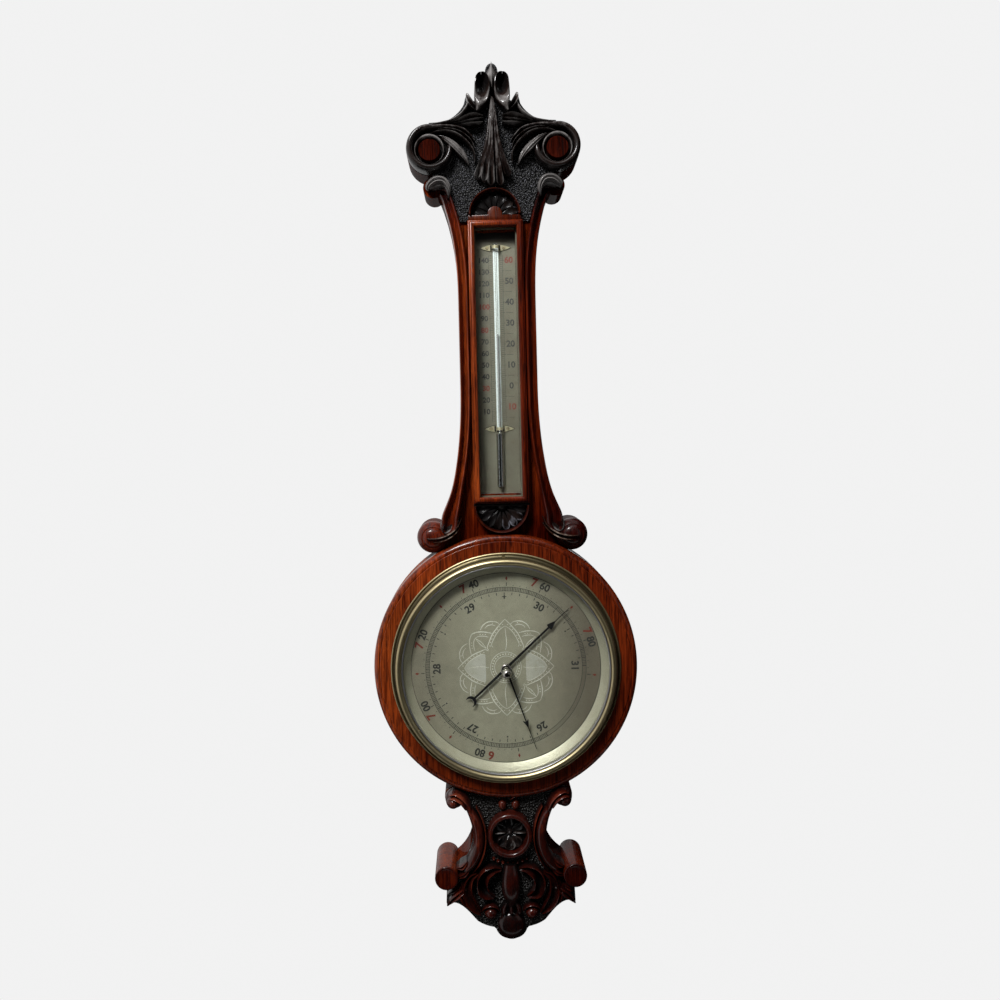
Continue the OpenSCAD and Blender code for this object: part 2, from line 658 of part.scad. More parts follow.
set_arbor_r = 2.4;
washer_t = 0.4;
set_boss_h = 1.6;
set_z = glass_z - washer_t - set_boss_h;
set_angle = 160.5;
module set_hand() {
    color(dark) stand() rotate(-set_angle) difference() {
        union() {
            translate([0, 0, set_z]) cylinder(r = 5, h = set_boss_h);
            translate([0, 0, set_z + (set_boss_h - hand_t) / 2]) linear_extrude(hand_t)
                polygon([[-1, 0], [-0.5, 55], [-3, 53.5], [-0.4, 61], [-0.25, set_hand_l], [0.25, set_hand_l],
                    [0.4, 61], [3, 53.5], [0.5, 55], [1, 0]]);
        }
        translate([0, 0, set_z - 1]) cylinder(r = set_arbor_r, h = set_boss_h + 2);
    }
}
module set_knob() {
    top = glass_front + knob_l;
    ball = knob_d / 2;
    color(brass) stand() rotate_extrude() intersection() {
        union() {
            translate([0, set_z - 0.5]) square([set_arbor_r, glass_front + washer_t - set_z + 1]);
            translate([0, set_z - 0.5]) square([3.6, 0.5]);
            translate([0, glass_front + washer_t]) square([5.4, 1.3]);
            translate([0, glass_front + washer_t]) square([set_arbor_r + 0.3, knob_l - 3]);
            translate([0, top - ball * 0.8]) circle(ball);
        }
        translate([0, set_z - 1]) square([10, top - set_z + 1]);
    }
}
module set_washers() {
    color(brass) stand() for (z = [set_z + set_boss_h, glass_front]) translate([0, 0, z]) difference() {
        cylinder(r = 4.8, h = washer_t);
        translate([0, 0, -1]) cylinder(r = set_arbor_r, h = 2);
    }
}

// Aneroid movement, from the drum forwards

module movement_drum() {
    color(brass) stand() difference() {
        rotate_extrude() {
            translate([0, drum_back]) square([flange_r, drum_t]);
            translate([drum_r - drum_wall, drum_back]) square([drum_wall, dial_z - drum_back]);
        }
        for (a = drum_screw_angles) rotate(a) translate([flange_screw_r, 0, -1])
            cylinder(r = screw_r + fit, h = 5);
        translate([0, adjust_y, -1]) cylinder(r = 4.4, h = floor_z + 1);
    }
}
module drum_screws() {
    color(brass) stand() for (a = drum_screw_angles) rotate(a)
        translate([flange_screw_r, 0, 0]) difference() {
        union() {
            cylinder(r = screw_r, h = screw_l);
            cylinder(r = screw_head_r, h = drum_back);
        }
        translate([-screw_head_r - 1, -slot_w / 2, -1]) cube([2 * screw_head_r + 2, slot_w, 1.5]);
    }
}

base_z = floor_z + base_t;
base_r = abs(adjust_y) + 12;
capsule_r = capsule_d / 2;
stud_h = 2;
capsule_top = base_z + stud_h + capsule_h;
module base_plate() {
    color(brass) stand() translate([0, 0, floor_z]) difference() {
        cylinder(r = base_r, h = base_t);
        translate([0, adjust_y, -1]) cylinder(r = 2.5 + fit, h = base_t + 2);
    }
}
corrugations = 4;
module capsule() {
    steps = corrugations * 4;
    low = base_z + stud_h;
    swell = 0.7;
    function rise(i) = swell * (i % 4 == 1 ? 1 : i % 4 == 3 ? -1 : 0);
    color(silver) stand() rotate_extrude() {
        translate([0, base_z]) square([6, stud_h + 1]);
        polygon(concat(
            [[0, low + swell], [6, low + swell]],
            [for (i = [0:steps]) [8 + (capsule_r - 10) * i / steps, low + swell - rise(i)]],
            [[capsule_r, low + swell], [capsule_r, capsule_top - swell]],
            [for (i = [steps:-1:0]) [8 + (capsule_r - 10) * i / steps, capsule_top - swell + rise(i)]],
            [[6, capsule_top], [0, capsule_top]]));
    }
}

bar_t = 3;
bar_z = capsule_top + 0.5;
leaf_z = bar_z + bar_t;                        // back leaf of the main spring
front_leaf_z = leaf_z + leaf_t + 2 * bend_r;   // front leaf of the main spring
bend_y = -(capsule_r + 14);
bar_y = [bend_y - 2, -(capsule_r + 4)];
leg_x = [capsule_r + 6, capsule_r + 12];
module spring_bridge() {
    color(brass) stand() {
        translate([-leg_x[1], bar_y[0], bar_z]) cube([2 * leg_x[1], bar_y[1] - bar_y[0], bar_t]);
        both_sides() translate([leg_x[0], bar_y[0], base_z])
            cube([leg_x[1] - leg_x[0], bar_y[1] - bar_y[0], bar_z - base_z + bar_t]);
        translate([-5, adjust_y - 5, bar_z]) cube([10, bar_y[1] - adjust_y + 5, bar_t]);
    }
}
post_r = 2.2;
lever_y = 4;
module main_spring() {
    mid = leaf_z + leaf_t + bend_r;
    color(steel) stand() difference() {
        translate([-spring_w / 2, 0, 0]) rotate([90, 0, 90]) linear_extrude(spring_w) {
            translate([bend_y, leaf_z]) square([bar_y[1] - bend_y - 1, leaf_t]);
            translate([bend_y, front_leaf_z]) square([lever_y + 4 - bend_y, leaf_t]);
            translate([bend_y, mid]) difference() {
                circle(bend_r + leaf_t);
                circle(bend_r);
                translate([0, -20]) square(40);
            }
        }
        translate([0, 0, front_leaf_z - 1]) cylinder(r = post_r + 0.6, h = leaf_t + 2);
    }
}
pin_r = 1;
pin_z = front_leaf_z + leaf_t + pin_r;
post_top = pin_z + 1.4;
post_room = 1.6;     // room for the post's travel under the arbor
module capsule_post() {
    color(steel) stand() difference() {
        translate([0, 0, capsule_top]) cylinder(r = post_r, h = post_top - capsule_top);
        translate([0, 0, pin_z]) rotate([0, 90, 0]) cylinder(r = pin_r + fit, h = 20, center = true);
    }
}
module knife_pin() {
    color(steel) stand() translate([0, 0, pin_z])
        rotate([0, 90, 0]) cylinder(r = pin_r, h = 12, center = true);
}

lever_z = front_leaf_z + leaf_t;
lever_t = 1.4;
link_x = -14;
rock_y = link_y + crank_l;
rock_z = bar_z + 4;
module main_lever() {
    color(brass) stand() translate([0, 0, lever_z]) linear_extrude(lever_t)
        polygon([[-9, lever_y], [9, lever_y], [7, lever_y + 5], [0, lever_y + 9],
            [link_x + 3, link_y + 2.5], [link_x - 3, link_y + 2.5],
            [link_x - 2.6, link_y - 6], [-9, lever_y + 4]]);
}
pin_room = 0.6;     // play at the link's foot, where the linkage is open
crank_pin_r = 0.6;
module lever_link() {
    eye_r = crank_pin_r + pin_room + 0.9;
    color(steel) stand() difference() {
        translate([link_x, link_y, 0]) {
            translate([0, 0, rock_z]) cylinder(r = 0.8, h = lever_z - rock_z);
            translate([0, 0, rock_z]) rotate([0, 90, 0]) cylinder(r = eye_r, h = 1.6, center = true);
        }
        translate([link_x, link_y, rock_z]) rotate([0, 90, 0])
            cylinder(r = crank_pin_r + pin_room, h = 4, center = true);
    }
}

bridge_z = post_top + post_room;
bridge_t = 1.6;
bush_h = 0.6;
groove_z = bridge_z + bridge_t + bush_h + 0.3;
chain_z = groove_z + 0.9;
chain_x = pulley_r + 0.3;
chain_t = 0.5;
pivot_r = 0.9;
bearing_x = [-26, 14];
bearing_t = 2;
module rock_shaft() {
    low = bearing_x[0] + bearing_t;
    color(steel) stand() translate([0, rock_y, rock_z]) {
        translate([low + 0.2, 0, 0]) rotate([0, 90, 0]) cylinder(r = 1.5, h = bearing_x[1] - low - 0.4);
        translate([bearing_x[0], 0, 0]) rotate([0, 90, 0])
            cylinder(r = pivot_r, h = bearing_x[1] + bearing_t - bearing_x[0]);
        translate([link_x + 1.4, 0, 0]) rotate([90, 0, 90]) linear_extrude(1.2) union() {
            circle(2.4);
            translate([-crank_l, -1.2]) square([crank_l, 2.4]);
            translate([-crank_l, 0]) circle(1.4);
        }
        translate([link_x - 1.2, -crank_l, 0]) rotate([0, 90, 0]) cylinder(r = crank_pin_r, h = 2.8);
        translate([chain_x - 0.7, 0, 0]) rotate([90, 0, 90]) linear_extrude(1.4) union() {
            circle(2.4);
            translate([-1.1, 0]) square([2.2, chain_z + 1 - rock_z]);
        }
    }
}
module rock_bearings() {
    color(brass) stand() for (x = bearing_x) difference() {
        union() {
            translate([x, rock_y - 4, base_z]) cube([bearing_t, 8, rock_z - base_z]);
            translate([x, rock_y, rock_z]) rotate([0, 90, 0]) cylinder(r = 4, h = bearing_t);
            translate([x - 2, rock_y - 4, base_z]) cube([bearing_t + 4, 8, 1.5]);
        }
        translate([x - 1, rock_y, rock_z]) rotate([0, 90, 0]) cylinder(r = pivot_r + fit, h = bearing_t + 2);
    }
}
module chain() {
    pitch = 2;
    end_y = rock_y - 1.1;
    links = floor(end_y / pitch);
    color(steel) stand() translate([chain_x - chain_t / 2, 0, chain_z])
        rotate([90, 0, 90]) linear_extrude(chain_t) {
        translate([0, -0.2]) square([end_y, 0.4]);
        for (i = [0:links - 1]) translate([end_y - pitch * (i + 0.5), 0]) circle(0.55);
    }
}

pillar_x = capsule_r + 12;
collet_r = 1.8;
hair_z = groove_z + 2.2;
hair_h = 1;
module arbor_bridge() {
    color(brass) stand() difference() {
        union() {
            translate([-pillar_x - 5, -6, bridge_z]) cube([2 * pillar_x + 10, 12, bridge_t]);
            translate([0, 0, bridge_z]) cylinder(r = 3, h = bridge_t + bush_h);
        }
        translate([0, 0, bridge_z - 1]) cylinder(r = arbor_r + fit, h = bridge_t + bush_h + 2);
    }
}
module bridge_pillars() {
    color(brass) stand() both_sides() translate([pillar_x, 0, 0]) {
        translate([0, 0, base_z]) cylinder(r = 3.2, h = bridge_z - base_z);
    }
}
arbor_r = 1.2;
module hand_arbor() {
    color(steel) stand() rotate_extrude() {
        translate([0, bridge_z - 0.2]) square([arbor_r, groove_z - bridge_z + 0.3]);
        translate([0, groove_z]) square([pulley_r, 1.8]);
        translate([0, groove_z]) square([pulley_r + 1, 0.35]);
        translate([0, groove_z + 1.45]) square([pulley_r + 1, 0.35]);
        translate([0, groove_z + 1.7]) square([collet_r, hair_z + hair_h - groove_z - 1.7]);
        translate([0, hair_z]) square([arbor_tip_r, hand_z + hand_boss_h - hair_z]);
    }
}
hair_t = 0.25;
hair_out = 7.4;
hair_in = collet_r + hair_t;
hair_gap = (hair_out - hair_in) / hair_turns - hair_t;
echo(least_gap_between_hairspring_turns = hair_gap);
module hairspring() {
    steps = 24 * hair_turns;
    function at_radius(i, side) = hair_in + (hair_out - hair_in) * i / steps + side * hair_t / 2;
    color(steel) stand() translate([0, 0, hair_z]) linear_extrude(hair_h) polygon(concat(
        [for (i = [0:steps]) at_radius(i, 1) * [cos(15 * i), sin(15 * i)]],
        [for (i = [steps:-1:0]) at_radius(i, -1) * [cos(15 * i), sin(15 * i)]]));
}
module hairspring_stud() {
    color(brass) stand() translate([hair_out + hair_t / 2 + 0.8, 0, bridge_z + bridge_t])
        cylinder(r = 0.8, h = hair_z + hair_h - bridge_z - bridge_t);
}
module adjusting_screw() {
    color(steel) stand() translate([0, adjust_y, 0]) difference() {
        union() {
            translate([0, 0, drum_back]) cylinder(r = 3.8, h = drum_t - fit);
            translate([0, 0, drum_back]) cylinder(r = 2.5, h = bar_z - drum_back);
        }
        translate([-5, -0.5, drum_back - 1]) cube([10, 1, 1.5]);
    }
}

// Thermometer

tube_r = tube_d / 2;
bulb_r = bulb_d / 2;
scale_z = trough_z + scale_t;
tube_z = scale_z + bulb_r + 0.3;
bulb_y = open_y + 8;
bulb_top = bulb_y + bulb_l;
tube_top = open_top - 14;
bore_r = bore_d / 2;
thread_r = bore_r - 0.1;
clip_y = [bulb_top + 2, tube_top - 4];
reading_y = bulb_top + 97;
thread_in = 29;       // length of the thread that lies in the bulb
module thermometer_pane() {
    color([0.8, 0.9, 0.9, 0.3]) stand() translate([-sight_open_w / 2 - pane_lap, open_y - pane_lap, pane_z])
        cube([sight_open_w + 2 * pane_lap, sight_open_h + 2 * pane_lap, pane_t]);
}
module pane_slip() {
    // Thin frame that holds the pane off the board
    color(dark_wood) stand() translate([0, 0, board_t]) linear_extrude(pane_z - board_t) difference() {
        translate([-sight_open_w / 2 - pane_lap, open_y - pane_lap])
            square([sight_open_w + 2 * pane_lap, sight_open_h + 2 * pane_lap]);
        translate([-scale_half, scale_y - 2]) square([2 * scale_half, scale_top - scale_y + 4]);
    }
}
module scale_plate() {
    color(silver) stand() translate([-scale_half, scale_y, trough_z])
        cube([2 * scale_half, scale_top - scale_y, scale_t]);
}
module along_tube() { translate([0, 0, tube_z]) rotate([-90, 0, 0]) rotate_extrude() children(); }
module thermometer_tube() {
    wall = 0.7;
    color([0.9, 0.95, 0.95, 0.5]) stand() along_tube() difference() {
        union() {
            translate([0, bulb_y + bulb_r]) square([bulb_r, bulb_l - bulb_r - 2]);
            translate([0, bulb_y + bulb_r]) intersection() {
                circle(bulb_r);
                translate([0, -bulb_r]) square(2 * bulb_r);
            }
            polygon([[0, bulb_top - 2], [bulb_r, bulb_top - 2], [tube_r, bulb_top], [0, bulb_top]]);
            translate([0, bulb_top - 1]) square([tube_r, tube_top - tube_r - bulb_top + 1]);
            translate([0, tube_top - tube_r]) intersection() {
                circle(tube_r);
                translate([0, -1]) square(2 * tube_r);
            }
        }
        translate([0, bulb_y + wall + 1]) square([bulb_r - wall, bulb_l - wall - 4]);
        translate([0, bulb_y + wall + 1]) square([bore_r, tube_top - tube_r - bulb_y - 2]);
    }
}
module bulb_mercury() {
    color(dark) stand() along_tube() translate([bore_r, bulb_y + 1.8])
        square([bulb_r - 0.75 - bore_r, bulb_l - 5]);
}
module mercury_thread() {
    color(dark) stand() along_tube() translate([0, bulb_top - thread_in])
        square([thread_r, reading_y - bulb_top + thread_in]);
}
clip_l = 15;
clip_h = 7;
clip_t = 0.8;
clip_pin_x = [-8.5, 8.5];
clip_pin_r = 0.6;
module tube_clips() {
    strap = 3;
    lens = (clip_l * clip_l + clip_h * clip_h / 4) / clip_h;   // radius of the clip's two edges
    color(brass) stand() for (y = clip_y) translate([0, y, 0]) difference() {
        union() {
            translate([0, 0, scale_z]) linear_extrude(clip_t) intersection() {
                translate([0, lens - clip_h / 2]) circle(lens);
                translate([0, clip_h / 2 - lens]) circle(lens);
            }
            translate([0, strap / 2, 0]) rotate([90, 0, 0]) linear_extrude(strap) {
                translate([0, tube_z]) circle(tube_r + clip_t);
                translate([-tube_r - clip_t, scale_z]) square([2 * (tube_r + clip_t), tube_z - scale_z]);
            }
        }
        translate([0, 0, tube_z]) rotate([90, 0, 0]) cylinder(r = tube_r + fit, h = 20, center = true);
        translate([-tube_r - fit, -10, scale_z - 1]) cube([2 * (tube_r + fit), 20, tube_z - scale_z + 1]);
        for (x = clip_pin_x) translate([x, 0, scale_z - 1]) cylinder(r = clip_pin_r + fit, h = 5);
    }
}
module clip_pins() {
    color(brass) stand() for (y = clip_y, x = clip_pin_x) translate([x, y, scale_z]) {
        cylinder(r = clip_pin_r, h = clip_t);
        translate([0, 0, clip_t]) cylinder(r = 2 * clip_pin_r, h = clip_pin_r);
    }
}

carcase();
dial_rim();
left_rail();
right_rail();
crest_carving();
crest_volutes();
upper_lunette();
lower_lunette();
thermometer_frame();
pendant_carving();
side_rolls();
patera_rosette();
berry_beads();
hanging_plate();
hanging_screws();
bezel();
bezel_screws();
dial_glass();
sight_ring();
dial_plate();
indicating_hand();
set_hand();
set_knob();
set_washers();
movement_drum();
drum_screws();
base_plate();
capsule();
capsule_post();
knife_pin();
main_spring();
spring_bridge();
main_lever();
lever_link();
rock_shaft();
rock_bearings();
chain();
arbor_bridge();
bridge_pillars();
hand_arbor();
hairspring();
hairspring_stud();
adjusting_screw();
thermometer_pane();
pane_slip();
scale_plate();
thermometer_tube();
bulb_mercury();
mercury_thread();
tube_clips();
clip_pins();
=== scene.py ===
"""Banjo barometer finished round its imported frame, with a carved oak case, a dial and a thermometer."""

import math
from types import SimpleNamespace

import bmesh
import bpy
import numpy as np
from bpy.props import FloatProperty, FloatVectorProperty, PointerProperty
from mathutils import Matrix, Vector


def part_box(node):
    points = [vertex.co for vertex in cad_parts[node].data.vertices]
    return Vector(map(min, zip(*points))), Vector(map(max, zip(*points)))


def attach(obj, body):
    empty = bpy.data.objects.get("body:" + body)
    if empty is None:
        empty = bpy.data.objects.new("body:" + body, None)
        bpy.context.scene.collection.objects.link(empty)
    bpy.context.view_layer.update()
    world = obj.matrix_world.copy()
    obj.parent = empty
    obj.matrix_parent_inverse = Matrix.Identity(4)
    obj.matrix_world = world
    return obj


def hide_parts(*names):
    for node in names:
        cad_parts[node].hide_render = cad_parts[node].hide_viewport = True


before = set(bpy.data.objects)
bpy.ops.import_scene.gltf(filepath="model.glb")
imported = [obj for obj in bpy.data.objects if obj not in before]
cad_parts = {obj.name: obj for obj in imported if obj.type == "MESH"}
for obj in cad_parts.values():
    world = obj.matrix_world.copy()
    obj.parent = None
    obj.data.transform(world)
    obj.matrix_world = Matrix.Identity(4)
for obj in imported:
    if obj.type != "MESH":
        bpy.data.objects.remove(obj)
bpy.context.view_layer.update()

bl_info = {
    "name": "Banjo barometer",
    "version": (1, 0, 0),
    "blender": (4, 5, 0),
    "location": "View3D > Sidebar > Barometer",
    "description": "Finishes a carved oak banjo barometer round its packed frame",
    "category": "Object",
}

# Pieces are shaped in millimetres: x to the right, y up from the dial's centre, z out from the wall
MM = 0.001
DIAL_LOW, DIAL_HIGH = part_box("dial_plate")
DIAL_HEIGHT = (DIAL_LOW[2] + DIAL_HIGH[2]) / 2
STAND = Matrix.Translation((0, 0, DIAL_HEIGHT)) @ Matrix.Rotation(math.pi / 2, 4, "X") @ Matrix.Scale(MM, 4)


def room(node):
    """A node's box in millimetres: across, up from the dial's centre and out from the wall."""
    low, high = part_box(node)
    return SimpleNamespace(
        left=low[0] / MM, right=high[0] / MM, back=-high[1] / MM, front=-low[1] / MM,
        foot=(low[2] - DIAL_HEIGHT) / MM, top=(high[2] - DIAL_HEIGHT) / MM)


# Levels and radii that come from the frame
BOARD = room("carcase").front
RIM_R = room("dial_rim").right
FACE = room("dial_rim").front
DIAL_R = room("dial_plate").right
DIAL_FACE = room("dial_plate").front
GLASS_R = room("dial_glass").right
GLASS_BACK = room("dial_glass").back
GLASS_FACE = room("dial_glass").front
BEZEL_R = room("bezel").right
BEZEL_TOP = room("bezel").front
CREST_Y = room("upper_lunette").top + 2
PENDANT_Y = -RIM_R
GROUND = BOARD + 3
SCALE = room("scale_plate")
FRAME = room("thermometer_frame")
TUBE = room("thermometer_tube")
ROLL = room("side_rolls")

# Shapes of the carver's strokes, as (across, up) points from one edge to the other
ACROSS = -np.cos(np.linspace(0, math.pi, 17))
BULGE = np.clip(1 - ACROSS ** 2, 0, 1)


def stroke(half):
    """A stroke's section from the points of its left half, which ends at the middle."""
    across, up = zip(*half)
    return np.stack([ACROSS, np.interp(-np.abs(ACROSS), across, up)], axis=1)


ROUND = np.stack([ACROSS, BULGE ** 0.5], axis=1)
PILLOW = np.stack([ACROSS, BULGE ** 0.25], axis=1)
CUP = stroke([(-1, 0), (-0.985, 0.55), (-0.93, 0.88), (-0.84, 1), (-0.74, 0.97), (-0.6, 0.82), (-0.4, 0.62),
              (0, 0.46)])
BOWL = stroke([(-1, 0), (-0.985, 0.6), (-0.93, 0.94), (-0.86, 1), (-0.76, 0.86), (-0.6, 0.52), (-0.4, 0.27),
               (0, 0.1)])
ROOF = stroke([(-1, 0), (-0.97, 0.3), (-0.8, 0.42), (-0.45, 0.7), (0, 1)])
VEIN = stroke([(-1, 0), (-0.97, 0.5), (-0.85, 0.82), (-0.6, 1), (-0.35, 0.94), (-0.14, 0.72), (0, 0.6)])
OVER = np.linspace(0, math.pi, 41)
RIBBED = np.stack([-np.cos(OVER), np.sin(OVER) ** 0.6 * (0.92 + 0.08 * np.cos(10 * OVER))], axis=1)
RAIL_SECTION = np.array([
    (-1, 0), (-0.99, 0.55), (-0.94, 0.8), (-0.85, 0.95), (-0.72, 1), (-0.58, 0.97), (-0.46, 0.86),
    (-0.36, 0.68), (-0.22, 0.5), (-0.05, 0.4), (0.12, 0.37), (0.3, 0.42), (0.45, 0.55), (0.56, 0.72),
    (0.66, 0.86), (0.78, 0.93), (0.88, 0.9), (0.95, 0.75), (0.99, 0.5), (1, 0)], float)


# Shaping tools

def blank():
    """An empty block of work, with room for how far each point stands up in the relief."""
    bm = bmesh.new()
    bm.verts.layers.float.new("relief")
    return bm


def smooth_read(values, t):
    """Reads a smooth line through evenly spaced values, with t from 0 to 1."""
    v = np.asarray(values, float)
    v = np.concatenate([[2 * v[0] - v[1]], v, [2 * v[-1] - v[-2]]])
    s = np.clip(t, 0, 1) * (len(v) - 3)
    i = np.minimum(s.astype(int), len(v) - 4)
    f = (s - i).reshape((-1,) + (1,) * (v.ndim - 1))
    a, b, c, d = v[i], v[i + 1], v[i + 2], v[i + 3]
    return 0.5 * (2 * b + (c - a) * f + (2 * a - 5 * b + 4 * c - d) * f ** 2
                  + (3 * b - a - 3 * c + d) * f ** 3)


def even_line(path, t):
    """Points at the parts t of a smooth line through the path, and their distances along it."""
    fine = smooth_read(path, np.linspace(0, 1, 40 * len(path)))
    run = np.concatenate([[0], np.cumsum(np.linalg.norm(np.diff(fine, axis=0), axis=1))])
    at = t * run[-1]
    return np.stack([np.interp(at, run, fine[:, k]) for k in range(fine.shape[1])], axis=1), at


def arc(centre, radius, start, end, steps=12):
    """Points of an arc, or of an oval's where radius is a pair, with angles in degrees."""
    a = np.radians(np.linspace(start, end, steps + 1))
    return np.asarray(centre) + np.broadcast_to(radius, 2) * np.stack([np.cos(a), np.sin(a)], axis=1)


def bezier(points, steps=12):
    """Points of a cubic curve with its four control points."""
    p = np.asarray(points, float)
    t = np.linspace(0, 1, steps + 1)[:, None]
    return p[0] * (1 - t) ** 3 + 3 * p[1] * t * (1 - t) ** 2 + 3 * p[2] * t * t * (1 - t) + p[3] * t ** 3


def skin(bm, rows, relief=None, loop=False):
    """Bends a lath of squares through closed rows of points. Loop joins the last row to the first."""
    rows = np.asarray(rows, float)
    relief = np.ones(rows.shape[:2]) if relief is None else np.asarray(relief, float)
    rows = np.concatenate([rows, rows[:, :1]], axis=1)
    relief = np.concatenate([relief, relief[:, :1]], axis=1)
    if loop:
        rows = np.concatenate([rows, rows[:1]])
        relief = np.concatenate([relief, relief[:1]])
    count, across = rows.shape[:2]
    made = bmesh.ops.create_grid(bm, x_segments=across - 1, y_segments=count - 1, size=1)["verts"]
    layer = bm.verts.layers.float["relief"]
    for vert, point, height in zip(made, rows.reshape(-1, 3), relief.reshape(-1)):
        vert.co = point
        vert[layer] = height
    bmesh.ops.remove_doubles(bm, verts=made, dist=0.004)
    made = [v for v in made if v.is_valid]
    edges = {e for v in made for e in v.link_edges if e.is_boundary}
    if edges:
        bmesh.ops.holes_fill(bm, edges=list(edges), sides=0)
    bmesh.ops.recalc_face_normals(bm, faces=list({f for v in made for f in v.link_faces}))


def leaf(bm, path, wide, tall, section=ROUND, base=GROUND, steps=26, blunt=(0, 0), sink=1.6, lean=0.0,
         hollow=None, rub_and_light=None):
    """A carved leaf, band or reed along a path, with half widths and heights read evenly along it.

    sink sets the foot into the base, blunt rounds either end, and lean lifts one edge over the other.
    hollow gives how fully each part of the way takes the section instead of a plain pillow, and the last
    argument makes parts brighter or darker than their height, for wear and for painted highlights and
    painted shade."""
    u = np.linspace(0, 1, steps + 1)
    t = 0.45 * u + 0.55 * (0.5 - 0.5 * np.cos(math.pi * u))
    line, run = even_line(path, t)
    way = np.gradient(line, axis=0)
    way /= np.linalg.norm(way, axis=1)[:, None] + 1e-9
    side = np.stack([-way[:, 1], way[:, 0]], axis=1)
    w = np.maximum(smooth_read(wide, t), 0.01)
    h = smooth_read(tall, t)
    for end, from_end in zip(blunt, (run, run[-1] - run)):
        if end:
            near = np.clip(1 - from_end / np.maximum(w, 0.2), 0, 1)
            curve = np.sqrt(np.clip(1 - near ** 2, 0.0004, 1))
            w = w * curve
            h = h * (1 - end + end * curve)
    v = section[:, 0]
    s = np.repeat(section[None, :, 1], len(t), axis=0)
    if hollow is not None:
        s = PILLOW[:, 1] + (s - PILLOW[:, 1]) * smooth_read(hollow, t)[:, None]
    top_xy = line[:, None, :] + side[:, None, :] * (w[:, None] * v[None, :])[..., None]
    top_z = base + h[:, None] * s + lean * w[:, None] * v[None, :]
    top = np.concatenate([top_xy, top_z[..., None]], axis=2)
    low = top[:, [-1, 0]].copy()
    low[..., 2] = base - sink
    worn = s if rub_and_light is None else s + smooth_read(rub_and_light, t)[:, None]
    skin(bm, np.concatenate([top, low], axis=1), np.concatenate([worn, np.zeros((len(t), 2))], axis=1))


def turned(bm, profile, centre=(0, 0), steps=64, relief=1.0, closed=False):
    """Turns a profile of (radius, height) points about an axis out from the wall."""
    layer = bm.verts.layers.float["relief"]
    verts = [bm.verts.new((centre[0] + r, centre[1], z)) for r, z in profile]
    pairs = list(zip(verts, verts[1:])) + ([(verts[-1], verts[0])] if closed else [])
    edges = [bm.edges.new(pair) for pair in pairs]
    for vert in verts:
        vert[layer] = relief
    before = set(bm.verts) - set(verts)
    bmesh.ops.spin(bm, geom=verts + edges, cent=(*centre, 0), axis=(0, 0, 1), dvec=(0, 0, 0),
                   angle=2 * math.pi, steps=steps, use_merge=True, use_duplicate=False)
    made = [v for v in bm.verts if v not in before]
    bmesh.ops.remove_doubles(bm, verts=made, dist=0.002)
    made = [v for v in made if v.is_valid]
    for vert in made:
        vert[layer] = relief
    bmesh.ops.recalc_face_normals(bm, faces=list({f for v in made for f in v.link_faces}))


def plate(bm, outline, low, high, ease, relief=0.0):
    """Sheet or board cut to an outline, with its front edge eased."""
    layer = bm.verts.layers.float["relief"]
    foot = [bm.verts.new((x, y, low)) for x, y in outline]
    face = bm.faces.new(foot)
    made = bmesh.ops.extrude_face_region(bm, geom=[face])["geom"]
    top = [g for g in made if isinstance(g, bmesh.types.BMVert)]
    bmesh.ops.translate(bm, vec=(0, 0, high - low), verts=top)
    faces = list({f for v in foot + top for f in v.link_faces})
    bmesh.ops.recalc_face_normals(bm, faces=faces)
    for vert in foot + top:
        vert[layer] = relief
    if ease:
        rim = {e for v in top for e in v.link_edges if all(p in set(top) for p in e.verts)}
        bmesh.ops.bevel(bm, geom=list(rim), offset=ease, affect="EDGES", segments=2, profile=0.5,
                        material=-1)


def both_sides(bm):
    """Adds the mirror image of all the work so far."""
    made = bmesh.ops.duplicate(bm, geom=bm.verts[:] + bm.edges[:] + bm.faces[:])["geom"]
    bmesh.ops.scale(bm, vec=(-1, 1, 1), verts=[g for g in made if isinstance(g, bmesh.types.BMVert)])
    bmesh.ops.reverse_faces(bm, faces=[g for g in made if isinstance(g, bmesh.types.BMFace)])


def flip(bm, sides):
    """Turns work over along the axis whose side is -1."""
    bmesh.ops.scale(bm, vec=sides, verts=bm.verts[:])
    bmesh.ops.reverse_faces(bm, faces=bm.faces[:])


def raise_work(bm, height):
    """Moves all the work up."""
    bmesh.ops.translate(bm, vec=(0, height, 0), verts=bm.verts[:])


def dome(bm, centre, radius, foot, height, relief=1.0, steps=28):
    """A round knob standing on the ground."""
    side = arc((0, foot), (radius, height), 0, 90, 8)[:-1]
    turned(bm, [(radius, foot - 1), *side, (0, foot + height)], centre, steps, relief)


def bar(bm, start, end, half, low, high):
    """A thin flat stroke between two points."""
    (x0, y0), (x1, y1) = start, end
    length = math.hypot(x1 - x0, y1 - y0)
    place = (Matrix.Translation(((x0 + x1) / 2, (y0 + y1) / 2, (low + high) / 2))
             @ Matrix.Rotation(math.atan2(y1 - y0, x1 - x0), 4, "Z")
             @ Matrix.Diagonal((length, 2 * half, high - low, 1)))
    bmesh.ops.create_cube(bm, size=1, matrix=place)


def clock(radius, angle):
    """A point on the dial, by its radius and its angle clockwise from the top in degrees."""
    a = math.radians(angle)
    return radius * math.sin(a), radius * math.cos(a)


# How far a figure's strokes are thickened, for its size, and how far it stands up and down
BOLDNESS, FIGURE_DEPTH = 0.032, 0.03


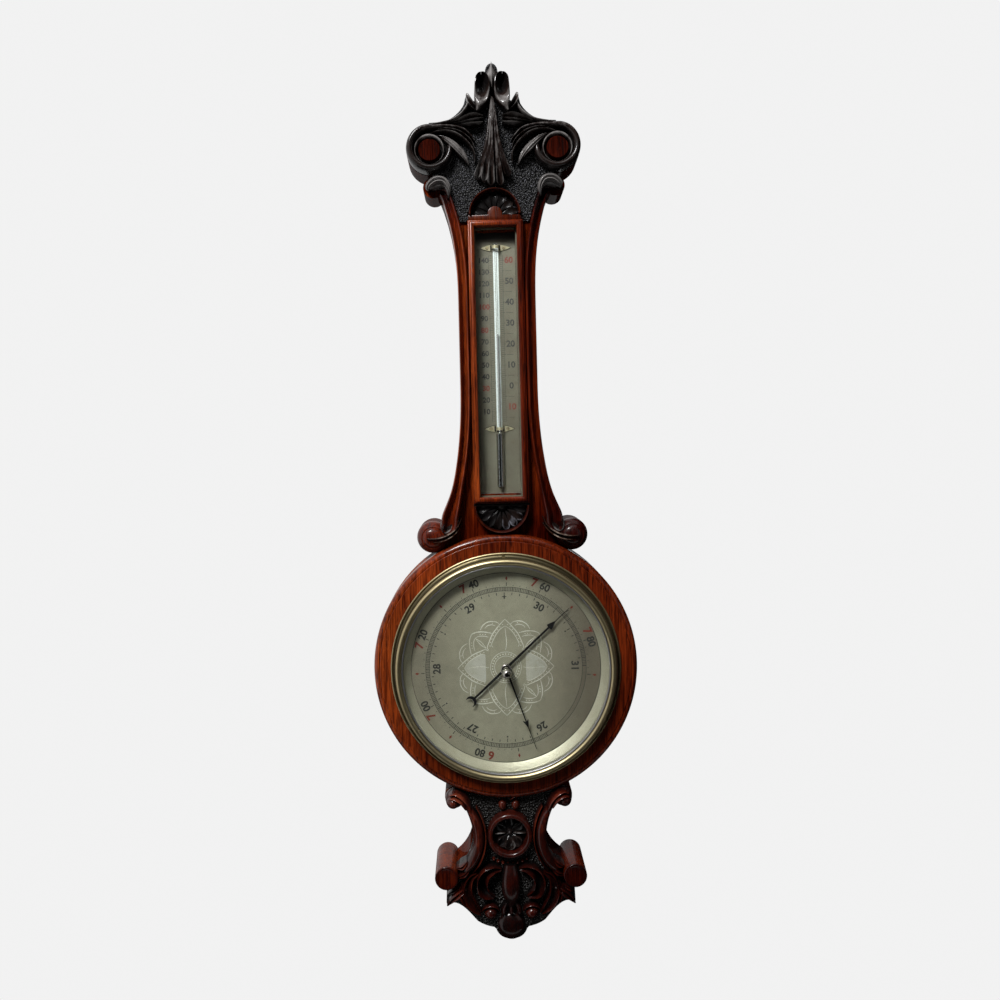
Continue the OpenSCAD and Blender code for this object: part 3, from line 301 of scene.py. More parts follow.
def numeral(bm, words, size, place):
    """Figures made a mesh and laid in place."""
    curve = bpy.data.curves.new("figures", "FONT")
    curve.body = words
    curve.size = size
    curve.align_x = "CENTER"
    curve.align_y = "CENTER"
    curve.extrude = FIGURE_DEPTH
    curve.offset = BOLDNESS * size
    curve.resolution_u = 4
    holder = bpy.data.objects.new("figures", curve)
    bpy.context.collection.objects.link(holder)
    bpy.context.view_layer.update()
    mesh = bpy.data.meshes.new_from_object(holder.evaluated_get(bpy.context.evaluated_depsgraph_get()))
    mesh.transform(place)
    bm.from_mesh(mesh)
    bpy.data.objects.remove(holder)
    bpy.data.curves.remove(curve)
    bpy.data.meshes.remove(mesh)


# Materials by the name of their finish, and the angle from which an edge stays sharp
FINISH = {}
SHARP = math.radians(40)


def piece(name, bm, body, finish, stands_for=()):
    """Stands finished work in the frame as one object, in the place of the nodes that it stands for."""
    bmesh.ops.transform(bm, matrix=STAND, verts=bm.verts[:])
    mesh = bpy.data.meshes.new(name)
    bm.to_mesh(mesh)
    bm.free()
    mesh.materials.append(FINISH[finish])
    mesh.shade_smooth()
    mesh.set_sharp_from_angle(angle=SHARP)
    obj = bpy.data.objects.new(name, mesh)
    bpy.context.collection.objects.link(obj)
    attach(obj, body)
    if stands_for:
        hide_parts(*stands_for)


def finish_node(finish, *nodes):
    """Gives CAD nodes a finish."""
    for node in nodes:
        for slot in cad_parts[node].material_slots:
            slot.material = FINISH[finish]


# Finishes

def add(tree, kind, inputs=None, **settings):
    """A shader node, with its inputs set to values or joined to sockets."""
    node = tree.nodes.new(kind)
    for name, value in settings.items():
        setattr(node, name, value)
    for name, value in (inputs or {}).items():
        socket = node.inputs[name]
        if isinstance(value, bpy.types.NodeSocket):
            tree.links.new(value, socket)
        else:
            socket.default_value = value
    return node


def blend_colour(tree, factor, a, b, blend_type="MIX"):
    """Colour a turning into b by the factor."""
    inputs = {0: factor, 6: a, 7: b}
    return add(tree, "ShaderNodeMix", inputs, data_type="RGBA", blend_type=blend_type).outputs[2]


def calc(tree, operation, a, b=0.0):
    """One sum."""
    return add(tree, "ShaderNodeMath", {0: a, 1: b}, operation=operation).outputs[0]


def grey(tree, value):
    """A value as a grey."""
    return add(tree, "ShaderNodeCombineColor", {0: value, 1: value, 2: value}).outputs["Color"]


def span(tree, value, low, high, to_low=0.0, to_high=1.0):
    """A value moved from one range to another, held within it."""
    inputs = {"Value": value, "From Min": low, "From Max": high, "To Min": to_low, "To Max": to_high}
    return add(tree, "ShaderNodeMapRange", inputs).outputs["Result"]


def stretched_noise(tree, vector, stretch, scale, detail=3.0, roughness=0.6, distortion=0.0):
    """Noise on coordinates that are squeezed by stretch along each axis."""
    place = add(tree, "ShaderNodeMapping", {"Vector": vector, "Scale": stretch}).outputs["Vector"]
    return add(tree, "ShaderNodeTexNoise", {"Vector": place, "Scale": scale, "Detail": detail,
                                            "Roughness": roughness, "Distortion": distortion}).outputs["Fac"]


def group(name, inputs, outputs):
    """An empty node group with its sockets, its input node and its output node."""
    tree = bpy.data.node_groups.new(name, "ShaderNodeTree")
    for label, kind, value in inputs:
        tree.interface.new_socket(name=label, in_out="INPUT", socket_type=kind).default_value = value
    for label, kind in outputs:
        tree.interface.new_socket(name=label, in_out="OUTPUT", socket_type=kind)
    return tree, tree.nodes.new("NodeGroupInput").outputs, tree.nodes.new("NodeGroupOutput").inputs


COLOUR = "NodeSocketColor"
NUMBER = "NodeSocketFloat"


def oak_grain_group():
    """Upright oak grain: broad bands, fine streaks, pale flecks and dark open pores."""
    tree, given, put = group(
        "Oak grain",
        [("Pale", COLOUR, (0.3, 0.1, 0.03, 1)), ("Deep", COLOUR, (0.1, 0.03, 0.01, 1)),
         ("Pore", COLOUR, (0.02, 0.006, 0.003, 1)), ("Pore depth", NUMBER, 0.75)],
        [("Color", COLOUR), ("Height", NUMBER), ("Roughness", NUMBER)])
    where = add(tree, "ShaderNodeTexCoord").outputs["Object"]
    bands = stretched_noise(tree, where, (1, 1, 0.08), 130, 2.0, 0.5, 0.8)
    streaks = stretched_noise(tree, where, (1, 1, 0.03), 620, 3.0, 0.65)
    pores = stretched_noise(tree, where, (1, 1, 0.04), 1300, 2.0, 0.5)
    flecks = stretched_noise(tree, where, (1, 1, 0.35), 260, 2.0, 0.5, 1.2)
    mottle = stretched_noise(tree, where, (1, 1, 0.5), 30, 2.0, 0.5)
    body = calc(tree, "ADD", calc(tree, "MULTIPLY", span(tree, bands, 0.36, 0.64), 0.4),
                calc(tree, "MULTIPLY", span(tree, streaks, 0.41, 0.59), 0.6))
    body = calc(tree, "ADD", body, span(tree, flecks, 0.6, 0.7, 0.0, 0.35))
    colour = blend_colour(tree, body, given["Deep"], given["Pale"])
    shade = span(tree, mottle, 0.3, 0.7, 0.75, 1.15)
    colour = blend_colour(tree, 1.0, colour, grey(tree, shade), "MULTIPLY")
    open_pore = span(tree, pores, 0.55, 0.64)
    masked = calc(tree, "MULTIPLY", open_pore, given["Pore depth"])
    tree.links.new(blend_colour(tree, masked, colour, given["Pore"]), put["Color"])
    tree.links.new(calc(tree, "SUBTRACT", calc(tree, "MULTIPLY", streaks, 0.4), masked), put["Height"])
    tree.links.new(span(tree, streaks, 0.3, 0.7, 0.26, 0.44), put["Roughness"])
    return tree


def patina_group():
    """Old metal: clouds of dullness, small spots and fine rubbing marks."""
    tree, given, put = group(
        "Metal patina",
        [("Bright", COLOUR, (0.8, 0.7, 0.45, 1)), ("Dull", COLOUR, (0.3, 0.22, 0.1, 1)),
         ("Amount", NUMBER, 0.5), ("Smooth", NUMBER, 0.25), ("Rough", NUMBER, 0.5)],
        [("Color", COLOUR), ("Height", NUMBER), ("Roughness", NUMBER)])
    where = add(tree, "ShaderNodeTexCoord").outputs["Object"]
    clouds = stretched_noise(tree, where, (1, 1, 1), 55, 4.0, 0.6, 0.4)
    spots = stretched_noise(tree, where, (1, 1, 1), 420, 3.0, 0.6)
    rubs_and_light = stretched_noise(tree, where, (1, 1, 1), 2600, 2.0, 0.5)
    mask = calc(tree, "ADD", span(tree, clouds, 0.35, 0.7, 0.0, 0.7),
                span(tree, spots, 0.55, 0.75, 0.0, 0.45))
    mask = calc(tree, "MULTIPLY", mask, given["Amount"])
    tree.links.new(blend_colour(tree, mask, given["Bright"], given["Dull"]), put["Color"])
    tree.links.new(calc(tree, "ADD", calc(tree, "MULTIPLY", spots, 0.6), calc(tree, "MULTIPLY", rubs_and_light, 0.4)),
                   put["Height"])
    wear = calc(tree, "ADD", mask, calc(tree, "MULTIPLY", rubs_and_light, 0.25))
    rough = add(tree, "ShaderNodeMapRange", {"Value": wear, "To Min": given["Smooth"],
                                             "To Max": given["Rough"]})
    tree.links.new(rough.outputs["Result"], put["Roughness"])
    return tree


def shader(name, inputs):
    """A material with one plain shader, and its node tree."""
    material = bpy.data.materials.new(name)
    material.use_nodes = True
    tree = material.node_tree
    tree.nodes.clear()
    body = add(tree, "ShaderNodeBsdfPrincipled", inputs)
    out = tree.nodes.new("ShaderNodeOutputMaterial")
    tree.links.new(body.outputs["BSDF"], out.inputs["Surface"])
    return material, tree, body


def use(tree, body, sockets, bump, distance):
    """Feeds a group's colour, roughness and height to the shader."""
    tree.links.new(sockets["Color"], body.inputs["Base Color"])
    tree.links.new(sockets["Roughness"], body.inputs["Roughness"])
    roughen(tree, body, sockets["Height"], bump, distance)


def roughen(tree, body, height, strength, distance):
    """Gives the shader a bump."""
    bump = add(tree, "ShaderNodeBump", {"Strength": strength, "Distance": distance, "Height": height})
    tree.links.new(bump.outputs["Normal"], body.inputs["Normal"])


def darken(tree, body, colour, spans, redden=1.5):
    """Feeds the shader a colour with painted shade and painted light laid on by place, redder where it is
    darker.

    A span in millimetres is (way, from, to, shade at from, shade at to), where way is across, up or out."""
    where = add(tree, "ShaderNodeTexCoord").outputs["Object"]
    parts = add(tree, "ShaderNodeSeparateXYZ", {0: where}).outputs
    ways = {"across": (0, 0, MM), "out": (1, 0, -MM), "up": (2, DIAL_HEIGHT, MM)}
    shade = 1.0
    for way, low, high, at_low, at_high in spans:
        axis, zero, unit = ways[way]
        part = span(tree, parts[axis], zero + unit * low, zero + unit * high, at_low, at_high)
        shade = calc(tree, "MULTIPLY", part, shade)
    deeper = calc(tree, "POWER", shade, redden)
    tone = add(tree, "ShaderNodeCombineColor", {0: shade, 1: deeper, 2: deeper}).outputs["Color"]
    tree.links.new(blend_colour(tree, 1.0, colour, tone, "MULTIPLY"), body.inputs["Base Color"])


def grained(tree, pale, deep, pore):
    """Places the oak grain with its own colours."""
    grain = add(tree, "ShaderNodeGroup", node_tree=GROUPS["grain"])
    for label, value in (("Pale", pale), ("Deep", deep), ("Pore", pore)):
        grain.inputs[label].default_value = (*value, 1)
    return grain.outputs


def oak(name, pale, deep, pore, coat, gloss, spans=()):
    """Waxed oak with its upright grain, with painted shade and painted light laid on by place."""
    material, tree, body = shader(name, {"Coat Weight": coat, "Coat Roughness": 0.13,
                                         "Specular IOR Level": gloss})
    grain = grained(tree, pale, deep, pore)
    use(tree, body, grain, 0.35, 0.0004)
    if spans:
        darken(tree, body, grain["Color"], spans)
    return material


def carved_oak(name, pale, deep, wax, rub_and_highlight, coat, spans=()):
    """Dark carving: old wax and painted shade lie in the hollows, and the ridges are worn lighter, with
    painted highlights.
    """
    material, tree, body = shader(name, {"Coat Weight": coat, "Coat Roughness": 0.14,
                                         "Specular IOR Level": 0.08})
    grain = grained(tree, pale, deep, wax)
    relief = add(tree, "ShaderNodeAttribute", attribute_name="relief").outputs["Fac"]
    where = add(tree, "ShaderNodeTexCoord").outputs["Object"]
    wear = stretched_noise(tree, where, (1, 1, 0.6), 160, 3.0, 0.6)
    lift = calc(tree, "ADD", relief, span(tree, wear, 0.3, 0.7, -0.25, 0.2))
    # The wax colour is old wax with painted shade, and the ridge colour is wear with painted highlights
    colour = blend_colour(tree, span(tree, lift, 0.25, 1.0), (*wax, 1), grain["Color"])
    colour = blend_colour(tree, span(tree, lift, 0.9, 1.25), colour, (*rub_and_highlight, 1))
    tree.links.new(colour, body.inputs["Base Color"])
    if spans:
        darken(tree, body, colour, spans)
    tree.links.new(span(tree, lift, 0.2, 1.0, 0.5, 0.28), body.inputs["Roughness"])
    roughen(tree, body, grain["Height"], 0.5, 0.0004)
    return material


def stippled(name, dark, light):
    """Ground that is punched all over with a matting tool, its grains bumped and their tops given a painted
    glint.
    """
    material, tree, body = shader(name, {"Specular IOR Level": 0.35})
    where = add(tree, "ShaderNodeTexCoord").outputs["Object"]
    cells = add(tree, "ShaderNodeTexVoronoi", {"Vector": where, "Scale": 540.0, "Randomness": 1.0})
    grains = cells.outputs["Distance"]
    drift = stretched_noise(tree, where, (1, 1, 1), 240, 3.0, 0.6)
    painted_glint = calc(tree, "MULTIPLY", span(tree, grains, 0.36, 0.1), span(tree, drift, 0.42, 0.6))
    tree.links.new(blend_colour(tree, painted_glint, (*dark, 1), (*light, 1)), body.inputs["Base Color"])
    tree.links.new(span(tree, drift, 0.3, 0.7, 0.55, 0.35), body.inputs["Roughness"])
    roughen(tree, body, grains, 1.0, 0.002)
    return material


def metal(name, bright, dull, amount, smooth, rough, metallic=1.0, spans=()):
    """A metal with its patina, and with painted shade that lies by place."""
    material, tree, body = shader(name, {"Metallic": metallic})
    patina = add(tree, "ShaderNodeGroup", node_tree=GROUPS["patina"])
    patina.inputs["Bright"].default_value = (*bright, 1)
    patina.inputs["Dull"].default_value = (*dull, 1)
    for label, value in (("Amount", amount), ("Smooth", smooth), ("Rough", rough)):
        patina.inputs[label].default_value = value
    use(tree, body, patina.outputs, 0.12, 0.0002)
    if spans:
        darken(tree, body, patina.outputs["Color"], spans, 1.1)
    return material


def ink(name, colour, rough=0.5):
    """Wax or paint laid in engraved work, a little worn."""
    material, tree, body = shader(name, {"Roughness": rough})
    where = add(tree, "ShaderNodeTexCoord").outputs["Object"]
    worn = span(tree, stretched_noise(tree, where, (1, 1, 1), 900, 3.0, 0.6), 0.45, 0.8)
    pale = [0.75 * c + 0.25 * s for c, s in zip(colour, (0.3, 0.3, 0.25))]
    tree.links.new(blend_colour(tree, worn, (*colour, 1), (*pale, 1)), body.inputs["Base Color"])
    return material


def glass(name):
    """Clear glass that lets the light of the lamps through, to what lies behind and back again."""
    material, tree, body = shader(name, {"Base Color": (0.97, 0.985, 0.975, 1), "Roughness": 0.0, "IOR": 1.5,
                                         "Transmission Weight": 1.0})
    surface = body.outputs["BSDF"].links[0].to_socket
    clear = add(tree, "ShaderNodeBsdfTransparent", {"Color": (0.97, 0.98, 0.97, 1)})
    path = add(tree, "ShaderNodeLightPath").outputs
    through = calc(tree, "MAXIMUM", path["Is Shadow Ray"], path["Is Diffuse Ray"])
    mix = add(tree, "ShaderNodeMixShader", {0: through, 1: body.outputs["BSDF"], 2: clear.outputs["BSDF"]})
    tree.links.new(mix.outputs["Shader"], surface)
    return material


GROUPS = {}


def tint(colour, amount):
    """A colour made lighter or darker."""
    return tuple(amount * c for c in colour)


def wood_finishes(case):
    """The woods: the colours of grain, of wax with painted shade and of worn ridges with painted highlights,
    and the painted shade laid on them by place.
    """
    pale, deep, pore = tuple(case.oak_pale), tuple(case.oak_deep), (0.012, 0.003, 0.002)
    dark, red, hollow = tuple(case.carving), tuple(case.red_carving), tuple(case.hollows)
    # The spans paint shade by place: each piece darker to the right, the rim at its foot and top, the rails
    # and board at head and foot, the frame at its foot and the rolls on their front faces
    for finish, name, light, streak, coat, gloss, spans in (
            ("rim", "rim_oak", pale, deep, 0.4, 0.08,
             [("across", -130, 130, 1.1, 0.55), ("up", -130, 20, 0.6, 1.0), ("up", 50, 120, 1.0, 0.72)]),
            ("rail", "rail_oak", tint(pale, 1.1), deep, 0.25, 0.15,
             [("across", -60, 60, 1.1, 0.26), ("up", CREST_Y - 60, CREST_Y - 12, 1.0, 0.12),
              ("up", 140, 200, 0.35, 1.0)]),
            ("frame", "frame_oak", pale, deep, 0.15, 0.08,
             [("across", -30, 30, 1.1, 0.32), ("up", FRAME.foot, FRAME.foot + 6, 0.2, 1.0)]),
            ("sill", "sill_oak", tint(pale, 0.3), tint(deep, 0.7), 0.15, 0.08,
             [("across", -30, 30, 1.1, 0.5)]),
            ("board", "board_oak", tint(pale, 0.9), tint(deep, 0.8), 0.14, 0.0,
             [("across", -60, 60, 1.15, 0.36), ("out", BOARD - 0.2, BOARD - 1, 1.3, 1.25),
              ("up", CREST_Y - 50, CREST_Y - 10, 1.0, 0.4), ("up", -150, -120, 0.4, 1.0),
              ("up", 140, 200, 0.28, 1.0), ("up", 100, 115, 3.5, 1.0)]),
            ("roll", "roll_oak", tint(pale, 0.7), deep, 0.3, 0.08,
             [("out", ROLL.front, ROLL.front - 2.5, 0.1, 0.8), ("across", -70, 70, 1.1, 0.5)])):
        FINISH[finish] = oak(name, light, streak, pore, coat, gloss, spans)
    FINISH["boss"] = oak("boss_oak", tint(red, 0.65), tint(red, 0.1), hollow, 0.0, 0.0)
    # The hollow colour carries painted shade and the worn ridge colours painted highlights. The pendant's
    # spans paint shade towards its foot and its right
    for finish, name, light, streak, rub_and_highlight, coat, spans in (
            ("carving", "dark_carving", tint(dark, 1.15), tint(dark, 0.7), (0.16, 0.15, 0.145), 0.45, ()),
            ("red_carving", "red_carving", tint(red, 1.1), tint(red, 0.45), (0.15, 0.028, 0.012), 0.5,
             [("up", -270, -150, 0.4, 1.0), ("across", -60, 60, 1.15, 0.65)]),
            ("lunette", "lunette_carving", tint(dark, 0.8), tint(dark, 0.4), (0.2, 0.2, 0.23), 0.1, ()),
            ("arch", "arch_oak", tint(deep, 0.9), tint(deep, 0.5), tint(pale, 0.25), 0.4, ()),
            # The beads' pale worn colour is mostly a painted highlight
            ("bead", "beads_worn_and_highlit", (0.07, 0.03, 0.018), (0.03, 0.012, 0.008), (0.42, 0.34, 0.28), 0.9,
             ())):
        FINISH[finish] = carved_oak(name, light, streak, hollow, rub_and_highlight, coat, spans)
    # The grounds' lighter colours are the painted glint on the grains' tops
    FINISH["ground"] = stippled("stippled_ground", (0.004, 0.004, 0.0045), (0.2, 0.2, 0.23))
    FINISH["pendant_ground"] = stippled("pendant_ground", (0.0035, 0.0025, 0.002), (0.035, 0.026, 0.02))


def metal_finishes(dial):
    """The metals: bright and dull colour, dullness, roughness of either, how metallic, and the painted shade
    laid on them by place.
    """
    brass, silver = tuple(dial.brass), tuple(dial.silver)
    # Painted shade: the dial darker at its left and right sides, and the scale darker under the frame's head
    # as a painted shadow
    painted_side_shade = [("across", -90, -30, 0.68, 1.0), ("across", 20, 80, 1.0, 0.45)]
    painted_head_shadow = [("up", SCALE.top - 13, SCALE.top - 5, 1.0, 0.06)]
    for finish, name, bright, dull, *values in (
            ("bezel", "dull_gold_bezel", tint(brass, 0.9), tint(brass, 0.45), 0.5, 0.34, 0.5),
            # The groove's darker brass is painted shade in the bezel's cove
            ("groove", "olive_groove_painted_shade", tint(brass, 0.32), tint(brass, 0.16), 0.8, 0.35, 0.55),
            ("brass", "plain_brass", tint(brass, 1.15), tint(brass, 0.5), 0.7, 0.28, 0.55),
            ("clip", "clip_brass", (0.5, 0.46, 0.3), (0.2, 0.17, 0.09), 0.6, 0.35, 0.55, 0.5),
            ("silver", "matt_silvering", silver, tint(silver, 0.66), 0.8, 0.42, 0.6, 0.2, painted_side_shade),
            ("chapter", "chapter_band", tint(silver, 0.82), tint(silver, 0.6), 0.8, 0.45, 0.6, 0.2, painted_side_shade),
            ("scale", "scale_silvering", tint(silver, 0.44), (0.09, 0.075, 0.048), 0.6, 0.45, 0.6, 0.2,
             painted_head_shadow),
            ("slip", "slip_silvering", tint(silver, 0.5), tint(silver, 0.25), 0.6, 0.4, 0.6, 0.3),
            ("slope", "sight_silvering", (0.40, 0.385, 0.29), (0.26, 0.245, 0.17), 0.6, 0.35, 0.55, 0.25),
            ("lip", "lip_silvering", (0.30, 0.30, 0.31), (0.16, 0.155, 0.15), 0.5, 0.3, 0.5, 0.85),
            # The cuts' pale colour is a painted glint on the engraving
            ("bright_cut_painted_glint", "bright_cut_painted_glint", (0.8, 0.8, 0.7), tint(silver, 1.1), 1.0, 0.3, 0.45, 0.2, painted_side_shade),
            ("frosted", "frosted_cut", (0.56, 0.56, 0.49), tint(silver, 1.05), 1.0, 0.4, 0.6, 0.2, painted_side_shade),
            ("steel", "plain_steel", (0.5, 0.5, 0.51), (0.2, 0.19, 0.18), 0.5, 0.3, 0.5),
            ("knob", "dark_steel_knob", (0.36, 0.35, 0.32), (0.16, 0.14, 0.11), 0.5, 0.16, 0.32),
            ("blacked", "blacked_steel", (0.012, 0.012, 0.014), (0.02, 0.017, 0.014), 0.5, 0.3, 0.45, 0.4),
            ("nickel", "nickel_silver", (0.66, 0.63, 0.57), (0.4, 0.37, 0.3), 0.4, 0.25, 0.45),
            ("mercury", "mercury", (0.42, 0.43, 0.45), (0.3, 0.3, 0.32), 0.3, 0.06, 0.16),
            ("thread", "mercury_thread", (0.66, 0.68, 0.70), (0.5, 0.5, 0.52), 0.3, 0.2, 0.3, 0.4)):
        FINISH[finish] = metal(name, bright, dull, *values)
    FINISH["ink"] = ink("black_wax", tuple(dial.black))
    FINISH["red"] = ink("red_wax", tuple(dial.red))
    FINISH["enamel"] = ink("white_enamel", (0.88, 0.94, 0.94), 0.25)
    FINISH["glass"] = glass("clear_glass")


def make_finishes(case, dial):
    """Builds each finish once, from the settings."""
    GROUPS["grain"] = oak_grain_group()
    GROUPS["patina"] = patina_group()
    wood_finishes(case)
    metal_finishes(dial)


# Settings

def colour_setting(name, description, default):
    """A colour that can be set."""
    return FloatVectorProperty(name=name, description=description, subtype="COLOR", size=3, min=0, max=1,
                               default=default)


class CaseSettings(bpy.types.PropertyGroup):
    """Woods of the case."""
    oak_pale: colour_setting("Pale oak", "Light streaks of the rails and the rim", (0.33, 0.056, 0.009))
    oak_deep: colour_setting("Deep oak", "Dark streaks of the rails and the rim", (0.062, 0.006, 0.0017))
    carving: colour_setting("Carving", "Wood of the dark carving", (0.018, 0.010, 0.008))
    red_carving: colour_setting("Red carving", "Wood of the pendant's carving", (0.075, 0.010, 0.005))
    # The hollows colour is old wax with painted shade
    hollows: colour_setting("Hollows", "Old wax in the hollows of the carving", (0.004, 0.003, 0.003))


class DialSettings(bpy.types.PropertyGroup):
    """Metals and inks of the dial and the thermometer."""
    silver: colour_setting("Silvering", "Matt silvering of the dial and the scale", (0.37, 0.355, 0.26))
    brass: colour_setting("Brass", "Dull gold of the bezel and the fittings", (0.50, 0.42, 0.24))
    black: colour_setting("Black wax", "Figures and lines of the scales", (0.015, 0.015, 0.015))
    red: colour_setting("Red wax", "Red figures and marks of the scales", (0.17, 0.02, 0.012))
    figure: FloatProperty(name="Figure height", description="Height of the dial's large figures",
                          unit="LENGTH", min=0.003, max=0.02, default=0.0115)


class StageSettings(bpy.types.PropertyGroup):
    """Camera, lamps and backdrop."""
    place: FloatVectorProperty(name="Camera", description="Where the camera stands", subtype="TRANSLATION",
                               size=3, unit="LENGTH", default=(-0.0255, -0.798, -0.3143))
    roll: FloatProperty(name="Roll", description="Turn of the camera about its line of sight",
                        subtype="ANGLE", default=math.radians(-1.38))
    lens: FloatProperty(name="Lens", description="Focal length in millimetres", min=10, max=200,
                        default=27.45)
    shift: FloatVectorProperty(name="Shift", description="Sideways and upward shift of the lens", size=2,
                               default=(0.0253, -0.0585))
    paper: colour_setting("Backdrop", "Pale colour behind the object", (0.885, 0.885, 0.885))
    key: FloatProperty(name="Key lamp", description="Power of the lamp at the upper left", unit="POWER",
                       min=0, default=47)
    fill: FloatProperty(name="Fill lamp", description="Power of the lamp at the right", unit="POWER",
                        min=0, default=1.5)


# Case

# The trunk's waist spreads late to its head and to its foot
WAIST = FRAME.right + 11.1
TRUNK_LOW, TRUNK_HIGH = FRAME.foot + 120, CREST_Y - 118
TRUNK_FOOT = 137
HEAD_FLARE, HEAD_BEND = 18.5, 2.6
FOOT_FLARE, FOOT_BEND = 22, 2.3


def half_width(y):
    """Half width of the trunk at a height."""
    if y > TRUNK_HIGH:
        return WAIST + HEAD_FLARE * ((y - TRUNK_HIGH) / (CREST_Y - TRUNK_HIGH)) ** HEAD_BEND
    if y < TRUNK_LOW:
        share = (TRUNK_LOW - max(y, TRUNK_FOOT)) / (TRUNK_LOW - TRUNK_FOOT)
        return WAIST + FOOT_FLARE * share ** FOOT_BEND
    return WAIST


# The well behind the dial, and the rim's round edge, step and fillet
WELL_R = 97.5
RIM_ROUND, RIM_STEP, RIM_FILLET = 5.5, 6.5, 0.6


class BAROMETER_OT_board_and_rim(bpy.types.Operator):
    """Finishes the back board and turns the rim round the dial"""
    bl_idname = "barometer.board_and_rim"
    bl_label = "Board and rim"

    def execute(self, context):
        finish_node("board", "carcase")
        bm = blank()
        outer, ledge, seat = RIM_R - 0.05, room("dial_plate").back, DIAL_R + 0.4
        step = outer - RIM_STEP
        bead = arc((outer - RIM_ROUND, FACE - RIM_STEP), RIM_ROUND, 0, 90, 10)
        fillet = arc((step - 0.5, FACE - RIM_FILLET), RIM_FILLET, 0, 90, 5)
        turned(bm, [(WELL_R, BOARD), (outer, BOARD), *bead, (step + 0.3, FACE - 1.3), *fillet,
                    (seat + 0.3, FACE), (seat, FACE - 0.3), (seat, ledge), (WELL_R, ledge)],
               steps=256, closed=True)
        piece("rim", bm, "case", "rim", ["dial_rim"])
        return {"FINISHED"}


# Centres and sizes of the crest's volutes and of the bosses in them, up from the crest's foot
VOLUTE, VOLUTE_R = (62.7, 38.5), 24
BOSS, BOSS_R, BOSS_TOP = (63.6, 35.4), 10.8, GROUND + 10.8
CREST_TIP = 124.9


def crest_outline():
    """Outline of the crest's ground, with the strips beside the upper lunette."""
    lunette = room("upper_lunette")
    low = FRAME.top + 0.3 - CREST_Y
    reach = lunette.right + 0.4
    side = [*arc((0, lunette.top - lunette.right - CREST_Y), reach, 90, 0, 12), (reach, low)]
    for y in np.linspace(low, -6, 6):
        side.append((half_width(CREST_Y + y) - 11.4, y))
    side += [(48.6, 2), (52, 9.6), (60.9, 13.4), (64, 38.5), (64, 66.5)]
    for control in ([(48.7, 67.5), (40, 70), (32, 77), (28.5, 84)],
                    [(27, 90), (26, 94), (23, 92), (20, 86.5)],
                    [(17.6, 88), (15, 98), (19.5, 110), (11.5, 114.6)]):
        side += bezier(control, 8).tolist()
    tip = bezier([(6.4, 116), (6.4, 121), (3.5, CREST_TIP), (0, CREST_TIP)], 6)
    side += [(7.2, 112.6), *tip]
    return side + [(-x, y) for x, y in side[-2:0:-1]]


